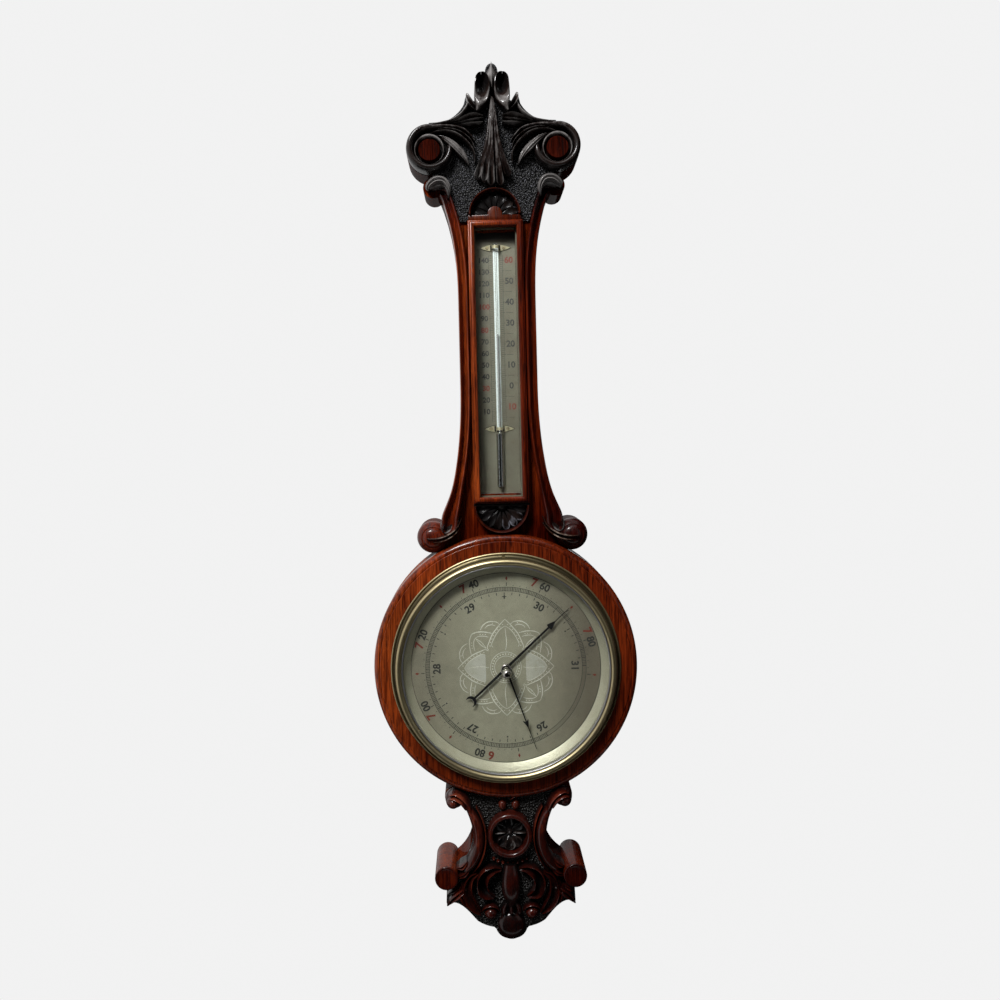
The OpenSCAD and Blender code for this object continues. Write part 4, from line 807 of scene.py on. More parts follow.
def crest_leaves(bm):
    """The right half of the crest's spray, which rises from the husk and rolls over the volute."""
    # The band along the upper edge, and the broad band that coils round the volute
    leaf(bm, [(24.3, 91.5), (23.8, 85), (26.4, 77.3), (31.8, 70.4), (41, 64.4), (50, 62.2), (58.5, 60.8),
              (66, 57.8), (73, 53)],
         [0.4, 1.4, 1.9, 2.1, 2.1, 1.9, 1.7, 1.3, 0.5], [6, 9, 11, 12, 12.5, 12.5, 12, 11, 9], ROUND,
         steps=44, rub_and_light=[0.2, 0.25, 0.2, 0.1, 0.1])
    turn = np.linspace(100, -212, 17)
    radius = np.interp(-turn, [-100, 0, 90, 180, 212], [20.2, 20.6, 20.4, 19.6, 18.6])
    coil = np.stack([VOLUTE[0] + radius * np.cos(np.radians(turn)),
                     VOLUTE[1] + radius * np.sin(np.radians(turn))], axis=1)
    sweep = [(18.3, 45.3), (22.5, 50.3), (28.7, 55.4), (37.4, 58), (48.8, 59)]
    leaf(bm, np.concatenate([sweep, coil]), [0.6, 1.4, 1.8, 2.2, 3.2, 3.7, 3.8, 3.8, 3.8, 3.7, 3.5, 3, 1.2],
         [7, 11, 12, 12.5, 13, 13.4, 13.4, 13.4, 13.2, 13, 12.4, 11, 7], PILLOW, steps=120,
         rub_and_light=[0, 0, -0.1, -0.3, -0.3, -0.3, -0.3])
    # Reeds under the bands, and the broad ribbed leaf at the volute's inner side with a painted highlight
    leaf(bm, [(18.4, 37.6), (21.4, 44.2), (29, 51), (38, 55), (48.5, 56.4), (56, 55.6)],
         [0.4, 1.1, 1.4, 1.4, 1.2, 0.4], [7, 10, 11.5, 12, 12, 10], ROUND, steps=36)
    leaf(bm, [(19, 23), (18.6, 31), (22, 38.5), (29.5, 46.4), (38.5, 52), (48, 54), (57, 53.2), (64, 51.4)],
         [0.4, 1.2, 1.5, 1.7, 1.6, 1.5, 1.2, 0.5], [6, 10, 12, 13, 13, 12.5, 12, 10], ROUND, steps=44)
    leaf(bm, [(24.3, 20.7), (28.6, 29), (35.4, 37.4), (43.5, 44.6), (50.5, 48.8), (56, 50)],
         [0.3, 2.9, 4.6, 4.6, 3.2, 0.8], [5, 9, 11, 11.5, 11, 9], RIBBED, steps=40, lean=-0.8,
         rub_and_light=[0.2, 0.4, 0.4, 0.3, 0])
    # Cupped and ribbed leaves above the bands
    leaf(bm, [(9.5, 68.4), (17.5, 67.6), (26, 66), (34, 64), (41.5, 62.8)], [1.2, 3.5, 3.2, 1.8, 0.4],
         [9, 13, 13, 11, 8], CUP, steps=34, rub_and_light=[0.2, 0.35, 0.3, 0.1])
    leaf(bm, [(9.5, 63.4), (16, 62), (25, 61.4), (35.5, 61)], [1.2, 2, 1.7, 0.3], [8, 11, 10.5, 7], RIBBED,
         steps=28, lean=-0.4, rub_and_light=[0.2, 0.4, 0.3, 0])
    leaf(bm, [(15.5, 75.5), (20.3, 79.5), (23.6, 86), (25, 92.4)], [1.5, 2.7, 2.6, 1.2], [10, 13, 12.5, 9],
         CUP, steps=30, blunt=(0, 0.6), hollow=[1, 1, 0.6, 0.1], rub_and_light=[0, 0.2, 0.3, 0.2])
    # The egg-shaped scoop beside the finial, whose floor runs up to the light; its values paint light on the
    # lower floor and shade at the top
    leaf(bm, [(15.4, 73.4), (12.4, 81), (10.2, 90), (9.7, 99), (10, 106.5), (10.5, 111.6)],
         [1.2, 5.2, 7.6, 8, 7.2, 5], [11, 13.6, 13.8, 14.6, 14.8, 13.6], BOWL, steps=52, blunt=(0, 0.2),
         hollow=[0, 0.1, 0.45, 0.95, 1, 0.9], rub_and_light=[0.1, 0.2, 0.35, 0, -0.5, -0.5])


def crest_husk(bm):
    """A bell of five cupped petals, and the ridged leaf at the top."""
    edge = [(0.8, 87.5), (3, 69), (4.6, 56), (6.4, 43.6), (9.6, 30)]
    # The last values paint highlights on the petals' ends, brightest at the left
    for end_x, end_y in ((-17, 7.5), (-9.8, 4.2), (-3, 0.4), (6.5, -0.2), (14.9, 8.6)):
        share = end_x / 17
        path = [(share * x, y) for x, y in edge] + [(end_x, end_y)]
        low = 1.6 * abs(share)
        leaf(bm, path, [0.5, 1.3, 1.7, 2.1, 2.9, 4.1],
             [9, 13 - low, 14 - low, 14.5 - low, 14 - low, 13 - low], BOWL, steps=50, blunt=(0, 0.35),
             hollow=[0, 0, 0.05, 0.12, 0.4, 0.85], rub_and_light=[0.1, 0.1, 0.05, 0, 0.2, 0.45 - 0.5 * share])
    leaf(bm, [(0, y) for y in (97, 105, 112, 117.5, 122, CREST_TIP - 0.4)], [2, 5, 7.5, 5.4, 2.6, 0.4],
         [10, 12, 12.4, 10.4, 8, 5], ROOF, steps=40, rub_and_light=[0.2, 0.3, 0.4, 0.3, 0.2])


class BAROMETER_OT_crest(bpy.types.Operator):
    """Carves the crest: ground, spray, husk and volutes"""
    bl_idname = "barometer.crest"
    bl_label = "Crest"

    def execute(self, context):
        bm = blank()
        plate(bm, crest_outline(), BOARD, GROUND, 0.5)
        raise_work(bm, CREST_Y)
        piece("crest_ground", bm, "case", "ground")
        bm = blank()
        crest_leaves(bm)
        both_sides(bm)
        crest_husk(bm)
        raise_work(bm, CREST_Y)
        piece("crest_spray", bm, "case", "carving", ["crest_carving"])
        bm = blank()
        bed = GROUND + 3.6
        turned(bm, [(0, BOARD), (VOLUTE_R, BOARD), (VOLUTE_R, bed - 0.6), (VOLUTE_R - 1, bed), (0, bed)],
               VOLUTE, 64, 0)
        # The thin ring round the boss, which swells to a lip at the coil's inner end
        leaf(bm, arc(BOSS, 14.2, -95, 268, 24), [0.7, 0.9, 1.2, 2.4, 3.4, 2.4, 1.2, 0.9, 0.7],
             [9.5, 11, 11.5, 12, 12, 11.5, 11, 10, 9.5], ROUND, steps=90, rub_and_light=[0.15, 0.2, 0.2])
        both_sides(bm)
        raise_work(bm, CREST_Y)
        piece("volutes", bm, "case", "carving", ["crest_volutes"])
        bm = blank()
        edge = arc((BOSS_R - 0.6, BOSS_TOP - 0.6), 0.6, 0, 90, 4)
        turned(bm, [(BOSS_R, GROUND), *edge, (BOSS_R - 1.4, BOSS_TOP - 0.3), (0, BOSS_TOP - 0.6)], BOSS, 64)
        both_sides(bm)
        raise_work(bm, CREST_Y)
        piece("volute_bosses", bm, "case", "boss")
        return {"FINISHED"}


# Half width of a rail, and the centre of the ball at the right rail's foot
RAIL_HALF = 5.2
RAIL_FOOT = (69.7, 129.0)


def rail_moulding(bm):
    """The right rail's moulding, and the ball at its foot with the groove of its scroll."""
    climb = [(half_width(y) - RAIL_HALF, y) for y in np.linspace(CREST_Y - 8, 149, 24)]
    path = [(54.4, CREST_Y - 4.5), *climb, (52.2, 141.5), (55.6, 136.5), (57.6, 133.4)]
    wide = [4.6, 5] + [RAIL_HALF] * 20 + [RAIL_HALF + more for more in (0.6, 2.2, 3.6, 2.4)]
    leaf(bm, path, wide, [9, 12.5] + [14] * 14 + [12.5], RAIL_SECTION, BOARD, 150, (0.1, 0.25), 0.0)
    cap = arc((0, BOARD), (16, 13), 0, 46, 7)
    eye = arc((0, BOARD + 9.4), (9.6, 3.8), 8, 80, 7)
    turned(bm, [*cap, (10.2, BOARD + 9.2), *eye, (0, BOARD + 13.2)], RAIL_FOOT, 48, 0.8)


def rail_ends(bm):
    """The leaf that rolls over the right rail's head, and the scoop that ends its channel at the foot."""
    # The rolled leaf's values paint a highlight over its crown; the scoop's paint light at its foot and
    # shade up the channel
    roll = [(45.6, -12), (45.8, -3), (50, 4), (57.5, 5.2), (64.4, 1.6), (67, -2.4)]
    leaf(bm, [(x, CREST_Y + y) for x, y in roll], [1.2, 2.6, 4.4, 5.6, 5.2, 3.4],
         [11, 15, 17.4, 17.6, 15.5, 11], RIBBED, BOARD, 60, (0, 0.5), 0.0, rub_and_light=[0, 0.5, 1.0, 1.1, 0.9, 0.2])
    leaf(bm, [(58.4, 133.8), (56.2, 138.6), (53.2, 146), (50.8, 154)], [4.6, 7, 5.6, 2.6], [12, 9, 6.6, 4.6],
         CUP, BOARD, 30, (0.2, 0), 0.0, rub_and_light=[0.3, 0.15, -0.4, -1.2])


def rail_beads(bm):
    """Two beads that wrap from the ball at the right rail's foot to the rail's inner edge."""
    for control, tall in (([(6, 0), (-10, -2), (-26, 5), (-29, 19)], [15.4, 17.6, 15.5, 10]),
                          ([(0, -3.8), (-12, -4.8), (-24, 1.6), (-29, 12.5)], [15, 16.8, 14, 9])):
        leaf(bm, bezier(control, 10) + RAIL_FOOT, [0.7, 1.5, 1.5, 0.9], tall, ROUND, BOARD, 40, (0.3, 0.3),
             0.0, rub_and_light=[-0.3, 0, 0.02, -0.4])


class BAROMETER_OT_rails(bpy.types.Operator):
    """Shapes the two moulded side rails with their scrolled heads and ball feet"""
    bl_idname = "barometer.rails"
    bl_label = "Side rails"

    def execute(self, context):
        for rail in ("left_rail", "right_rail"):
            for part, shape, finish, stands_for in (("moulding", rail_moulding, "rail", [rail]),
                                                    ("ends", rail_ends, "carving", ()),
                                                    ("beads", rail_beads, "bead", ())):
                bm = blank()
                shape(bm)
                if rail == "left_rail":
                    flip(bm, (-1, 1, 1))
                piece(f"{rail}_{part}", bm, "case", finish, stands_for)
        return {"FINISHED"}


def fan(bm, radius, tall, floor, rubs_and_light):
    """A half-round floor with a fan of petals from its middle, each made lighter or darker by its own value:
    painted light on some petals, painted shade on others.
    """
    plate(bm, arc((0, 0), radius - 1.5, 0, 180, 32), BOARD, BOARD + floor, 0)
    for i, rub_and_light in enumerate(rubs_and_light):
        a = math.radians(180 * (i + 0.5) / len(rubs_and_light))
        reach = [(radius * s * math.cos(a), radius * s * math.sin(a)) for s in (0.24, 0.46, 0.68, 0.88)]
        width = 0.5 * math.pi / len(rubs_and_light) * radius
        leaf(bm, reach, [width * s for s in (0.2, 0.46, 0.72, 0.78)], tall, BOWL, BOARD + floor - 1, 22,
             (0, 0.5), hollow=[0, 0.2, 0.4, 0.5], rub_and_light=[-0.8, rub_and_light - 0.4, rub_and_light, rub_and_light])


def arch(bm, radius):
    """The moulded edge of a half-round panel."""
    half = 1.6
    leaf(bm, arc((0, 0), radius - half, 180, 0, 24), [half] * 3, [13] * 3, ROUND, BOARD, 48, sink=0.0)


# Painted shade for the petals that lie in shadow
SHADED_PETAL = -0.75


class BAROMETER_OT_lunettes(bpy.types.Operator):
    """Carves the two half-round panels with their fans, and the sill under the upper one"""
    bl_idname = "barometer.lunettes"
    bl_label = "Lunettes"

    def execute(self, context):
        upper, lower = room("upper_lunette"), room("lower_lunette")
        upper_y, lower_y = upper.top - upper.right, lower.foot + lower.right
        bm = blank()
        # The five petals on the left take painted shade
        fan(bm, upper.right, [3, 5, 6.5, 6], 2, [0.1, 0] + [SHADED_PETAL] * 5)
        raise_work(bm, upper_y)
        piece("upper_lunette_fan", bm, "case", "lunette", ["upper_lunette"])
        bm = blank()
        low, crown = upper.foot + 0.1, 7.2
        ledge = low + 5.4
        sill = [(-upper.right, low), (upper.right, low), (upper.right, ledge), (crown, ledge),
                *arc((0, low + 6.8), crown, 0, 180, 14), (-crown, ledge), (-upper.right, ledge)]
        plate(bm, sill, BOARD, BOARD + 9, 0.8, 0.9)
        piece("upper_lunette_sill", bm, "case", "sill")
        bm = blank()
        # The petals at the lower right and the bottom take painted light, the three on the left painted
        # shade
        fan(bm, lower.right, [4, 6, 7.5, 7], 2, [-0.3, 0.2, 0.3, 0.3, -0.1] + [SHADED_PETAL] * 3)
        dome(bm, (0, 0.5), 5.6, BOARD + 2, 7, 0.2)
        # The bar takes the hollows' dark colour, painted shade under the thermometer's frame
        plate(bm, [(-lower.right, -1.7), (lower.right, -1.7), (lower.right, 0.6), (-lower.right, 0.6)],
              BOARD, BOARD + 9, 0.6, 0.1)
        flip(bm, (1, -1, 1))
        raise_work(bm, lower_y)
        piece("lower_lunette_fan", bm, "case", "lunette", ["lower_lunette"])
        bm = blank()
        arch(bm, upper.right)
        raise_work(bm, upper_y)
        piece("upper_arch", bm, "case", "arch")
        bm = blank()
        arch(bm, lower.right)
        flip(bm, (1, -1, 1))
        raise_work(bm, lower_y)
        piece("lower_arch", bm, "case", "arch")
        return {"FINISHED"}


class BAROMETER_OT_thermometer_frame(bpy.types.Operator):
    """Mitres the moulding round the thermometer"""
    bl_idname = "barometer.thermometer_frame"
    bl_label = "Thermometer moulding"

    def execute(self, context):
        bm = blank()
        small = arc((1.3, BOARD + 10), 1.3, 180, 20, 7)
        large = arc((4, BOARD + 11), 2.6, 190, 0, 12)
        rebate, seat = 4.8, BOARD + 7.2
        profile = [(0, BOARD), *small, *large, (6.6, seat), (rebate, seat), (rebate, BOARD)]
        corners = [(-1, -1), (1, -1), (1, 1), (-1, 1)]
        middle, half = (FRAME.foot + FRAME.top) / 2, (FRAME.top - FRAME.foot) / 2
        rows = [[(sx * (FRAME.right - inset), middle + sy * (half - inset), z) for inset, z in profile]
                for sx, sy in corners]
        skin(bm, rows, loop=True)
        piece("thermometer_moulding", bm, "case", "frame", ["thermometer_frame"])
        return {"FINISHED"}


# Centres on the pendant, down from the round's edge
NECK = (76.5, -37.5)
ROLL_AXIS, ROLL_R = (63.5, -74.8), 11.5
PATERA_Y = -37
LOW_BERRY = (20.5, -116)


def pendant_outline():
    """Outline of the pendant's ground, below the round."""
    side = [(0, 25), (51, 25), (51, 2), (46, -6), *arc(NECK, 40.3, 132, 236, 16)]
    side += [(53, -80), (57, -84), (63.4, -86.5), (64.2, -97)]
    for control in ([(64.6, -108.6), (56, -104.6), (49, -108), (37, -122.6)],
                    [(34, -126), (29, -129.6), (23, -131.6), (17.5, -132.6)],
                    [(15.5, -134.6), (13.5, -141), (8, -144.6), (0, -144.6)]):
        side += bezier(control, 8).tolist()
    return side + [(-x, y) for x, y in side[-2:0:-1]]


def pendant_leaves(bm):
    """The right half of the pendant: scroll head, side band, curled leaves and the pointed leaf."""
    # The curl at the head, its eye and the reeds that wrap over it
    dome(bm, (54, -1.5), 9.6, GROUND, 9.5, 0.6, 32)
    dome(bm, (55.6, -3.4), 7.4, GROUND, 13, 0.8, 28)
    for path in ([(37.5, -13), (41.5, -3.4), (47.6, 3.4), (54, 6.4), (60, 4)],
                 [(42.4, -9.6), (46, -3.6), (50.6, 0.4), (55.6, 2), (60.6, 0.4)]):
        leaf(bm, path, [1.8, 2.7, 2.5, 2.2, 1], [13.2, 14.6, 14.8, 14, 10], ROUND, steps=34,
             blunt=(0.3, 0.4), rub_and_light=[0, 0, 0.2, 0.2, 0])
    leaf(bm, arc(NECK, 45.6, 136, 231, 12), [2, 4.4, 5.6, 5.6, 5.6, 5.2, 3.4],
         [11, 13.4, 13.8, 13.8, 13.8, 13.4, 10], PILLOW, steps=60, blunt=(0, 0.4),
         rub_and_light=[0, -0.1, -0.15, -0.15])
    leaf(bm, arc(NECK, 52.7, 146, 222, 12), [0.6, 1, 1, 1, 0.6], [10, 13, 13, 13, 9], ROUND, steps=44,
         rub_and_light=[0.2, 0.3, 0.3, 0.1, -0.3])
    # Lobes where the band meets the roll
    leaf(bm, [(43, -61), (48, -65.4), (53.6, -68)], [1, 2.7, 0.8], [11, 14, 9], VEIN, steps=20)
    leaf(bm, [(40, -69), (46, -73.6), (53, -77.4)], [0.8, 2.4, 0.8], [9, 13, 9], VEIN, steps=20)
    # The curled leaf beside the tongue, the outer leaves and the tip
    leaf(bm, [(9, -72), (17, -70.5), (25, -74), (28.6, -83), (25.6, -93), (17, -100)],
         [1.2, 4, 5.4, 5.6, 5, 1.6], [8, 13, 14.6, 14.6, 13, 7], BOWL, steps=44,
         hollow=[0.3, 0.8, 1, 1, 0.9, 0.3])
    leaf(bm, [(33, -75), (40.6, -80), (43, -91), (38.6, -104), (30, -117)], [1.2, 4, 5.4, 5, 1.6],
         [7, 12, 13.6, 11, 5], CUP, steps=40)
    leaf(bm, [(48, -84), (50, -92), (47, -101), (41, -111)], [1, 2.6, 3, 0.8], [7, 11, 10.6, 5], VEIN,
         steps=30)
    leaf(bm, [(44, -89), (52, -94), (58.4, -99.6), (64, -107.6)], [1.5, 3.6, 3.1, 0.4], [8, 11.6, 10, 5],
         VEIN, steps=30)
    leaf(bm, [(51, -87.6), (57.4, -90.6), (63.6, -96)], [1.2, 2.4, 0.4], [8, 9.6, 5], VEIN, steps=20)
    # The lid over a lower berry
    leaf(bm, arc(LOW_BERRY, 9, 20, 165, 10), [0.5, 1.2, 1.2, 0.5], [6, 8.6, 8.6, 6], ROUND, steps=28)


def pendant_middle(bm):
    """The tongue with its three toes, the knob at the foot and the pearls under the patera."""
    leaf(bm, [(0, y) for y in (-67, -73, -83, -96, -108)], [6, 9, 10, 8.6, 4], [9, 12.6, 13.4, 12, 8],
         PILLOW, steps=36, rub_and_light=[-0.4, -0.3, -0.3, -0.4, -0.6])
    for x in (-8, 0, 8):
        leaf(bm, [(x * 0.5, -104), (x * 0.9, -111), (x, -118)], [1.2, 2.8, 3.4], [6, 8, 7], ROUND,
             blunt=(0, 0.6), rub_and_light=[-0.5, -0.3, -0.3])
    dome(bm, (0, -130.4), 13.8, GROUND, 6.6, 0.5, 40)
    for centre in arc((0, PATERA_Y), 31, 238, 302, 7):
        dome(bm, centre, 1.7, GROUND, 4, 1, 12)


def patera_bud(bm):
    """The dark bud in the patera: small petals above, cupped ones below and a rib at either side."""
    bed, low, high = 17.2, GROUND - 0.4, GROUND + 0.4
    turned(bm, [(0, low), (bed, low), (bed, high), (0, high)], (0, 0), 48, 0)
    # The upper petals' values paint them in shade, the lower ones' paint light on them
    for angle, wide, tall, rub_and_light in ((35, 4.4, 4, -0.8), (90, 4.4, 4, -0.8), (145, 4.4, 4, -0.8),
                                   (228, 5.6, 7, -0.1), (312, 5.6, 7, 0), (270, 6.2, 8, 0.1)):
        a = math.radians(angle)
        leaf(bm, [(s * math.cos(a), s * math.sin(a)) for s in (2.5, 7, 11.5, 16.2)],
             [0.25 * wide, 0.7 * wide, wide, 0.6 * wide], [2, 0.75 * tall, tall, 0.9 * tall], BOWL, GROUND,
             22, (0, 0.5), hollow=[0, 0.4, 0.7, 0.7], rub_and_light=[-0.6, rub_and_light, rub_and_light, rub_and_light])
    for side in (-1, 1):
        leaf(bm, [(4 * side, 0.5), (10 * side, 0.9), (16 * side, 0.6)], [0.5, 0.8, 0.5], [4, 6, 5], ROUND,
             steps=16, rub_and_light=[0, 0.2, 0])
    dome(bm, (0, 1), 3.2, GROUND, 6, 0.5)


def berries(bm):
    """Two oval berries over the patera, two round ones at the foot, and the slip between the upper ones."""
    dome(bm, (0, 0), 4.2, GROUND, 6)
    oval = Matrix.Translation((6.5, -8.8, 0)) @ Matrix.Diagonal((1, 1.36, 1, 1))
    bmesh.ops.transform(bm, matrix=oval, verts=bm.verts[:])
    dome(bm, LOW_BERRY, 6.6, GROUND, 9)
    both_sides(bm)
    leaf(bm, [(1, -3.4), (4, 0), (8, 3.4)], [0.4, 1.3, 0.4], [5, 8, 5], ROUND, steps=16)


class BAROMETER_OT_pendant(bpy.types.Operator):
    """Carves the pendant: ground, bands, leaves, rolls, patera and berries"""
    bl_idname = "barometer.pendant"
    bl_label = "Pendant"

    def execute(self, context):
        bm = blank()
        plate(bm, pendant_outline()[::-1], BOARD, GROUND, 0.5)
        raise_work(bm, PENDANT_Y)
        piece("pendant_ground", bm, "case", "pendant_ground")
        bm = blank()
        pendant_leaves(bm)
        both_sides(bm)
        pendant_middle(bm)
        raise_work(bm, PENDANT_Y)
        piece("pendant_leaves", bm, "case", "red_carving", ["pendant_carving"])
        bm = blank()
        top = ROLL.front
        edge = arc((ROLL_R - 1.2, top - 1.4), 1.2, 0, 90, 5)
        turned(bm, [(0, 0), (ROLL_R, 0), *edge, (9.4, top - 0.5), (5, top - 0.9), (0, top - 0.9)],
               ROLL_AXIS, 48, 0.9)
        both_sides(bm)
        raise_work(bm, PENDANT_Y)
        piece("rolls", bm, "case", "roll", ["side_rolls"])
        bm = blank()
        ring = arc((19.6, GROUND + 8.4), (2.5, 2.6), 0, 180, 10)
        turned(bm, [(22.1, GROUND - 0.5), *ring, (16.9, GROUND + 1.5), (16.9, GROUND - 0.5)],
               relief=0.8, closed=True)
        raise_work(bm, PENDANT_Y + PATERA_Y)
        piece("patera", bm, "case", "red_carving", ["patera_rosette"])
        bm = blank()
        patera_bud(bm)
        raise_work(bm, PENDANT_Y + PATERA_Y)
        piece("patera_bud", bm, "case", "carving")
        bm = blank()
        berries(bm)
        raise_work(bm, PENDANT_Y)
        piece("berries", bm, "case", "red_carving", ["berry_beads"])
        return {"FINISHED"}


# Dial

# Inner radii of the silvered slope, at the dial and under the glass
SLOPE_FOOT, SLOPE_HEAD = 94.2, 100.2


class BAROMETER_OT_bezel(bpy.types.Operator):
    """Turns the brass bezel and the silvered sight ring, and glazes the dial"""
    bl_idname = "barometer.bezel"
    bl_label = "Bezel and glass"

    def execute(self, context):
        lip, outer, foot, top = GLASS_R - 1.6, BEZEL_R, FACE, BEZEL_TOP
        seat = GLASS_FACE + 0.05
        bm = blank()
        bead = arc((outer - 1.1, foot + 1.6), 1.1, -60, 170, 13)
        turned(bm, [(outer - 2.2, foot), (outer - 0.6, foot), *bead, (outer - 2.2, foot + 1.4)],
               steps=256, closed=True)
        roll = arc((lip + 3, top - 3), 3, -15, 180, 17)
        turned(bm, [(GLASS_R + 0.4, foot + 1), (lip + 5.6, foot + 1), (lip + 6, top - 4.6), *roll,
                    (lip, seat), (GLASS_R + 0.4, seat)], steps=256, closed=True)
        piece("bezel_ring", bm, "case", "bezel", ["bezel"])
        bm = blank()
        cove = [(outer - 1.9, foot + 1.2), (outer - 3.4, foot + 1.9), (outer - 4.4, foot + 3.1),
                (outer - 5, foot + 4.4), (lip + 6.9, top - 4.4), (lip + 5.7, top - 4.2)]
        turned(bm, [(GLASS_R + 0.6, foot), (outer - 1.7, foot), *cove, (GLASS_R + 0.6, top - 4.4)],
               steps=256, closed=True)
        piece("bezel_groove", bm, "case", "groove")
        bm = blank()
        nose = arc((lip - 0.7, top - 2.5), 0.7, 0, 180, 10)
        turned(bm, [(lip, seat), *nose, (lip - 1.4, seat)], steps=192, closed=True)
        piece("bezel_lip", bm, "case", "lip")
        bm = blank()
        low, back = DIAL_FACE + 0.05, GLASS_BACK - 0.05
        turned(bm, [(SLOPE_FOOT, low), (SLOPE_FOOT + 1.2, low), (SLOPE_HEAD + 0.8, back - 1),
                    (GLASS_R, back - 0.7), (GLASS_R, back), (SLOPE_HEAD + 0.2, back),
                    (SLOPE_HEAD, back - 0.6)], steps=192, closed=True)
        piece("sight_slope", bm, "case", "slope", ["sight_ring"])
        finish_node("bezel", "bezel_screws")
        finish_node("glass", "dial_glass")
        return {"FINISHED"}


# Radii on the dial, from its inner figures to the line at its edge
FIGURES_R, HALF_DOT_R, STAR_R = 68, 68.6, 70
HALF_INCH_R, TENTH_R, MARK_END_R = 70.4, 71.6, 74
BAND_IN, BAND_OUT = 75.6, 79.4
MILLIMETRE_R, SHORT_END_R, LONG_END_R = 80.6, 82, 84
OUTER_FIGURES_R, EDGE_LINE_R = 88, 93.6

# Foot and top of the wax in the dial's cuts, the half widths of marks, and the smaller figures' share
INK_LOW, INK_HIGH = DIAL_FACE - 0.03, DIAL_FACE + 0.05
BOLD, FINE = 0.34, 0.2
SMALLER = 0.88

# First figure of the inches, its angle and the turn of an inch, in degrees
FIRST_INCH, FIRST_ANGLE, INCH_TURN = 26, 150, 60


def inch_angle(inches):
    """Where a reading in inches lies, clockwise from the top."""
    return FIRST_ANGLE + INCH_TURN * (inches - FIRST_INCH)


def millimetre_angle(millimetres):
    """Where a reading in millimetres lies, clockwise from the top."""
    return inch_angle(millimetres / 25.4)


def dial_place(radius, angle, height=0):
    """Where a figure stands on the dial, with its head outwards."""
    turn = Matrix.Rotation(-math.radians(angle), 4, "Z")
    return Matrix.Translation((*clock(radius, angle), height)) @ turn


def inch_scale(bm, size):
    """Fiftieths in the band, tenths and half inches inside it, and the inches' figures."""
    for k in range(251):
        angle = inch_angle(FIRST_INCH + 0.02 * k)
        tenth, half, inch = k % 5 == 0, k % 25 == 0, k % 50 == 0
        bar(bm, clock(BAND_IN, angle), clock(BAND_OUT, angle), BOLD if tenth else FINE, INK_LOW, INK_HIGH)
        if tenth and not inch:
            start = clock(HALF_INCH_R if half else TENTH_R, angle)
            bar(bm, start, clock(MARK_END_R, angle), 0.36, INK_LOW, INK_HIGH)
        if half and not inch:
            dot = [(0, INK_LOW), (0.8, INK_LOW), (0.8, INK_HIGH), (0, INK_HIGH)]
            turned(bm, dot, clock(HALF_DOT_R, angle), 12)
    for inches in range(FIRST_INCH, 32):
        numeral(bm, str(inches), size * SMALLER, dial_place(FIGURES_R, inch_angle(inches), DIAL_FACE))


def millimetre_scale(bm, red, size):
    """Every second millimetre, with figures and lozenges by turns at the tens."""
    for millimetres in range(670, 791, 2):
        angle = millimetre_angle(millimetres)
        ten = millimetres % 10 == 0
        bar(bm, clock(MILLIMETRE_R, angle), clock(LONG_END_R if ten else SHORT_END_R, angle),
            BOLD if ten else FINE, INK_LOW, INK_HIGH)
        if millimetres % 20 == 0:
            hundreds, rest = divmod(millimetres, 100)
            numeral(red, str(hundreds), size, dial_place(OUTER_FIGURES_R, angle - 5.4, DIAL_FACE))
            place = dial_place(OUTER_FIGURES_R - 0.2, angle + 2, DIAL_FACE)
            numeral(bm, f"{rest:02d}", size * SMALLER, place)
        elif ten:
            place = dial_place(OUTER_FIGURES_R, angle)
            corners = [place @ Vector(p) for p in ((0, 2.2, 0), (1.2, 0, 0), (0, -2.2, 0), (-1.2, 0, 0))]
            plate(red, [(p.x, p.y) for p in corners][::-1], INK_LOW, INK_HIGH, 0)


def star(bm):
    """The small star at the top of the inner scale."""
    points = []
    for k in range(8):
        x, y = clock(0.9 if k % 2 else 2.6, 45 * k)
        points.append((x, STAR_R + y))
    plate(bm, points[::-1], INK_LOW, INK_HIGH, 0)


def spot(bm, place, radius, height):
    """A small raised dot."""
    flat = Matrix.Translation((*place, DIAL_FACE)) @ Matrix.Diagonal((1, 1, height / radius, 1))
    bmesh.ops.create_icosphere(bm, subdivisions=1, radius=radius, matrix=flat)


def cut(bm, points, half):
    """An engraved line that thins towards its ends."""
    leaf(bm, points, [half * 0.5, half, half, half * 0.5], [0.09, 0.12, 0.12, 0.09], ROUND, DIAL_FACE, 24,
         sink=0.03)


def about_dial(points, turn, side=1):
    """Turns points (out along a leaf, across it) about the dial to the leaf's place."""
    along, across = np.asarray(points, float).T
    across = across * side
    return np.stack([along * math.sin(turn) + across * math.cos(turn),
                     along * math.cos(turn) - across * math.sin(turn)], axis=1)


# One side of a leaf of the rosette, and the strapwork beside it with each line's half width
LEAF_OUTER = np.array([(17.2, 16.4), (20, 18), (26, 15.8), (33, 12.6), (39, 8), (43.6, 4), (47.6, 0)])
LEAF_INNER = np.array([(20, 12.6), (23, 13.6), (28, 11.6), (33.6, 8.4), (38, 4.6), (41, 0)])
LEAF_RIB = [(17, 0), (24, 1.2), (32, 0.6), (39, 0)]
STRAPWORK = [([(33.4, 33.2), (35.2, 28), (35.4, 21), (34, 13.4)], 0.5),
             ([(29.6, 29.6), (31.2, 26), (31.2, 20.4), (30.2, 16.6)], 0.36),
             ([(37.4, 24.6), (42.4, 21.4), (45.4, 15.6), (45, 8.6), (42.6, 5.4)], 0.44),
             ([(39, 20), (41.4, 17.4), (42.4, 13), (41.2, 9.6)], 0.34),
             ([(19, 19), (24.6, 23), (29.6, 29.6)], 0.34)]
STRAP_DOTS = [(33.2, 24.8), (33.2, 22.2), (33, 19.6), (44, 12.4)]


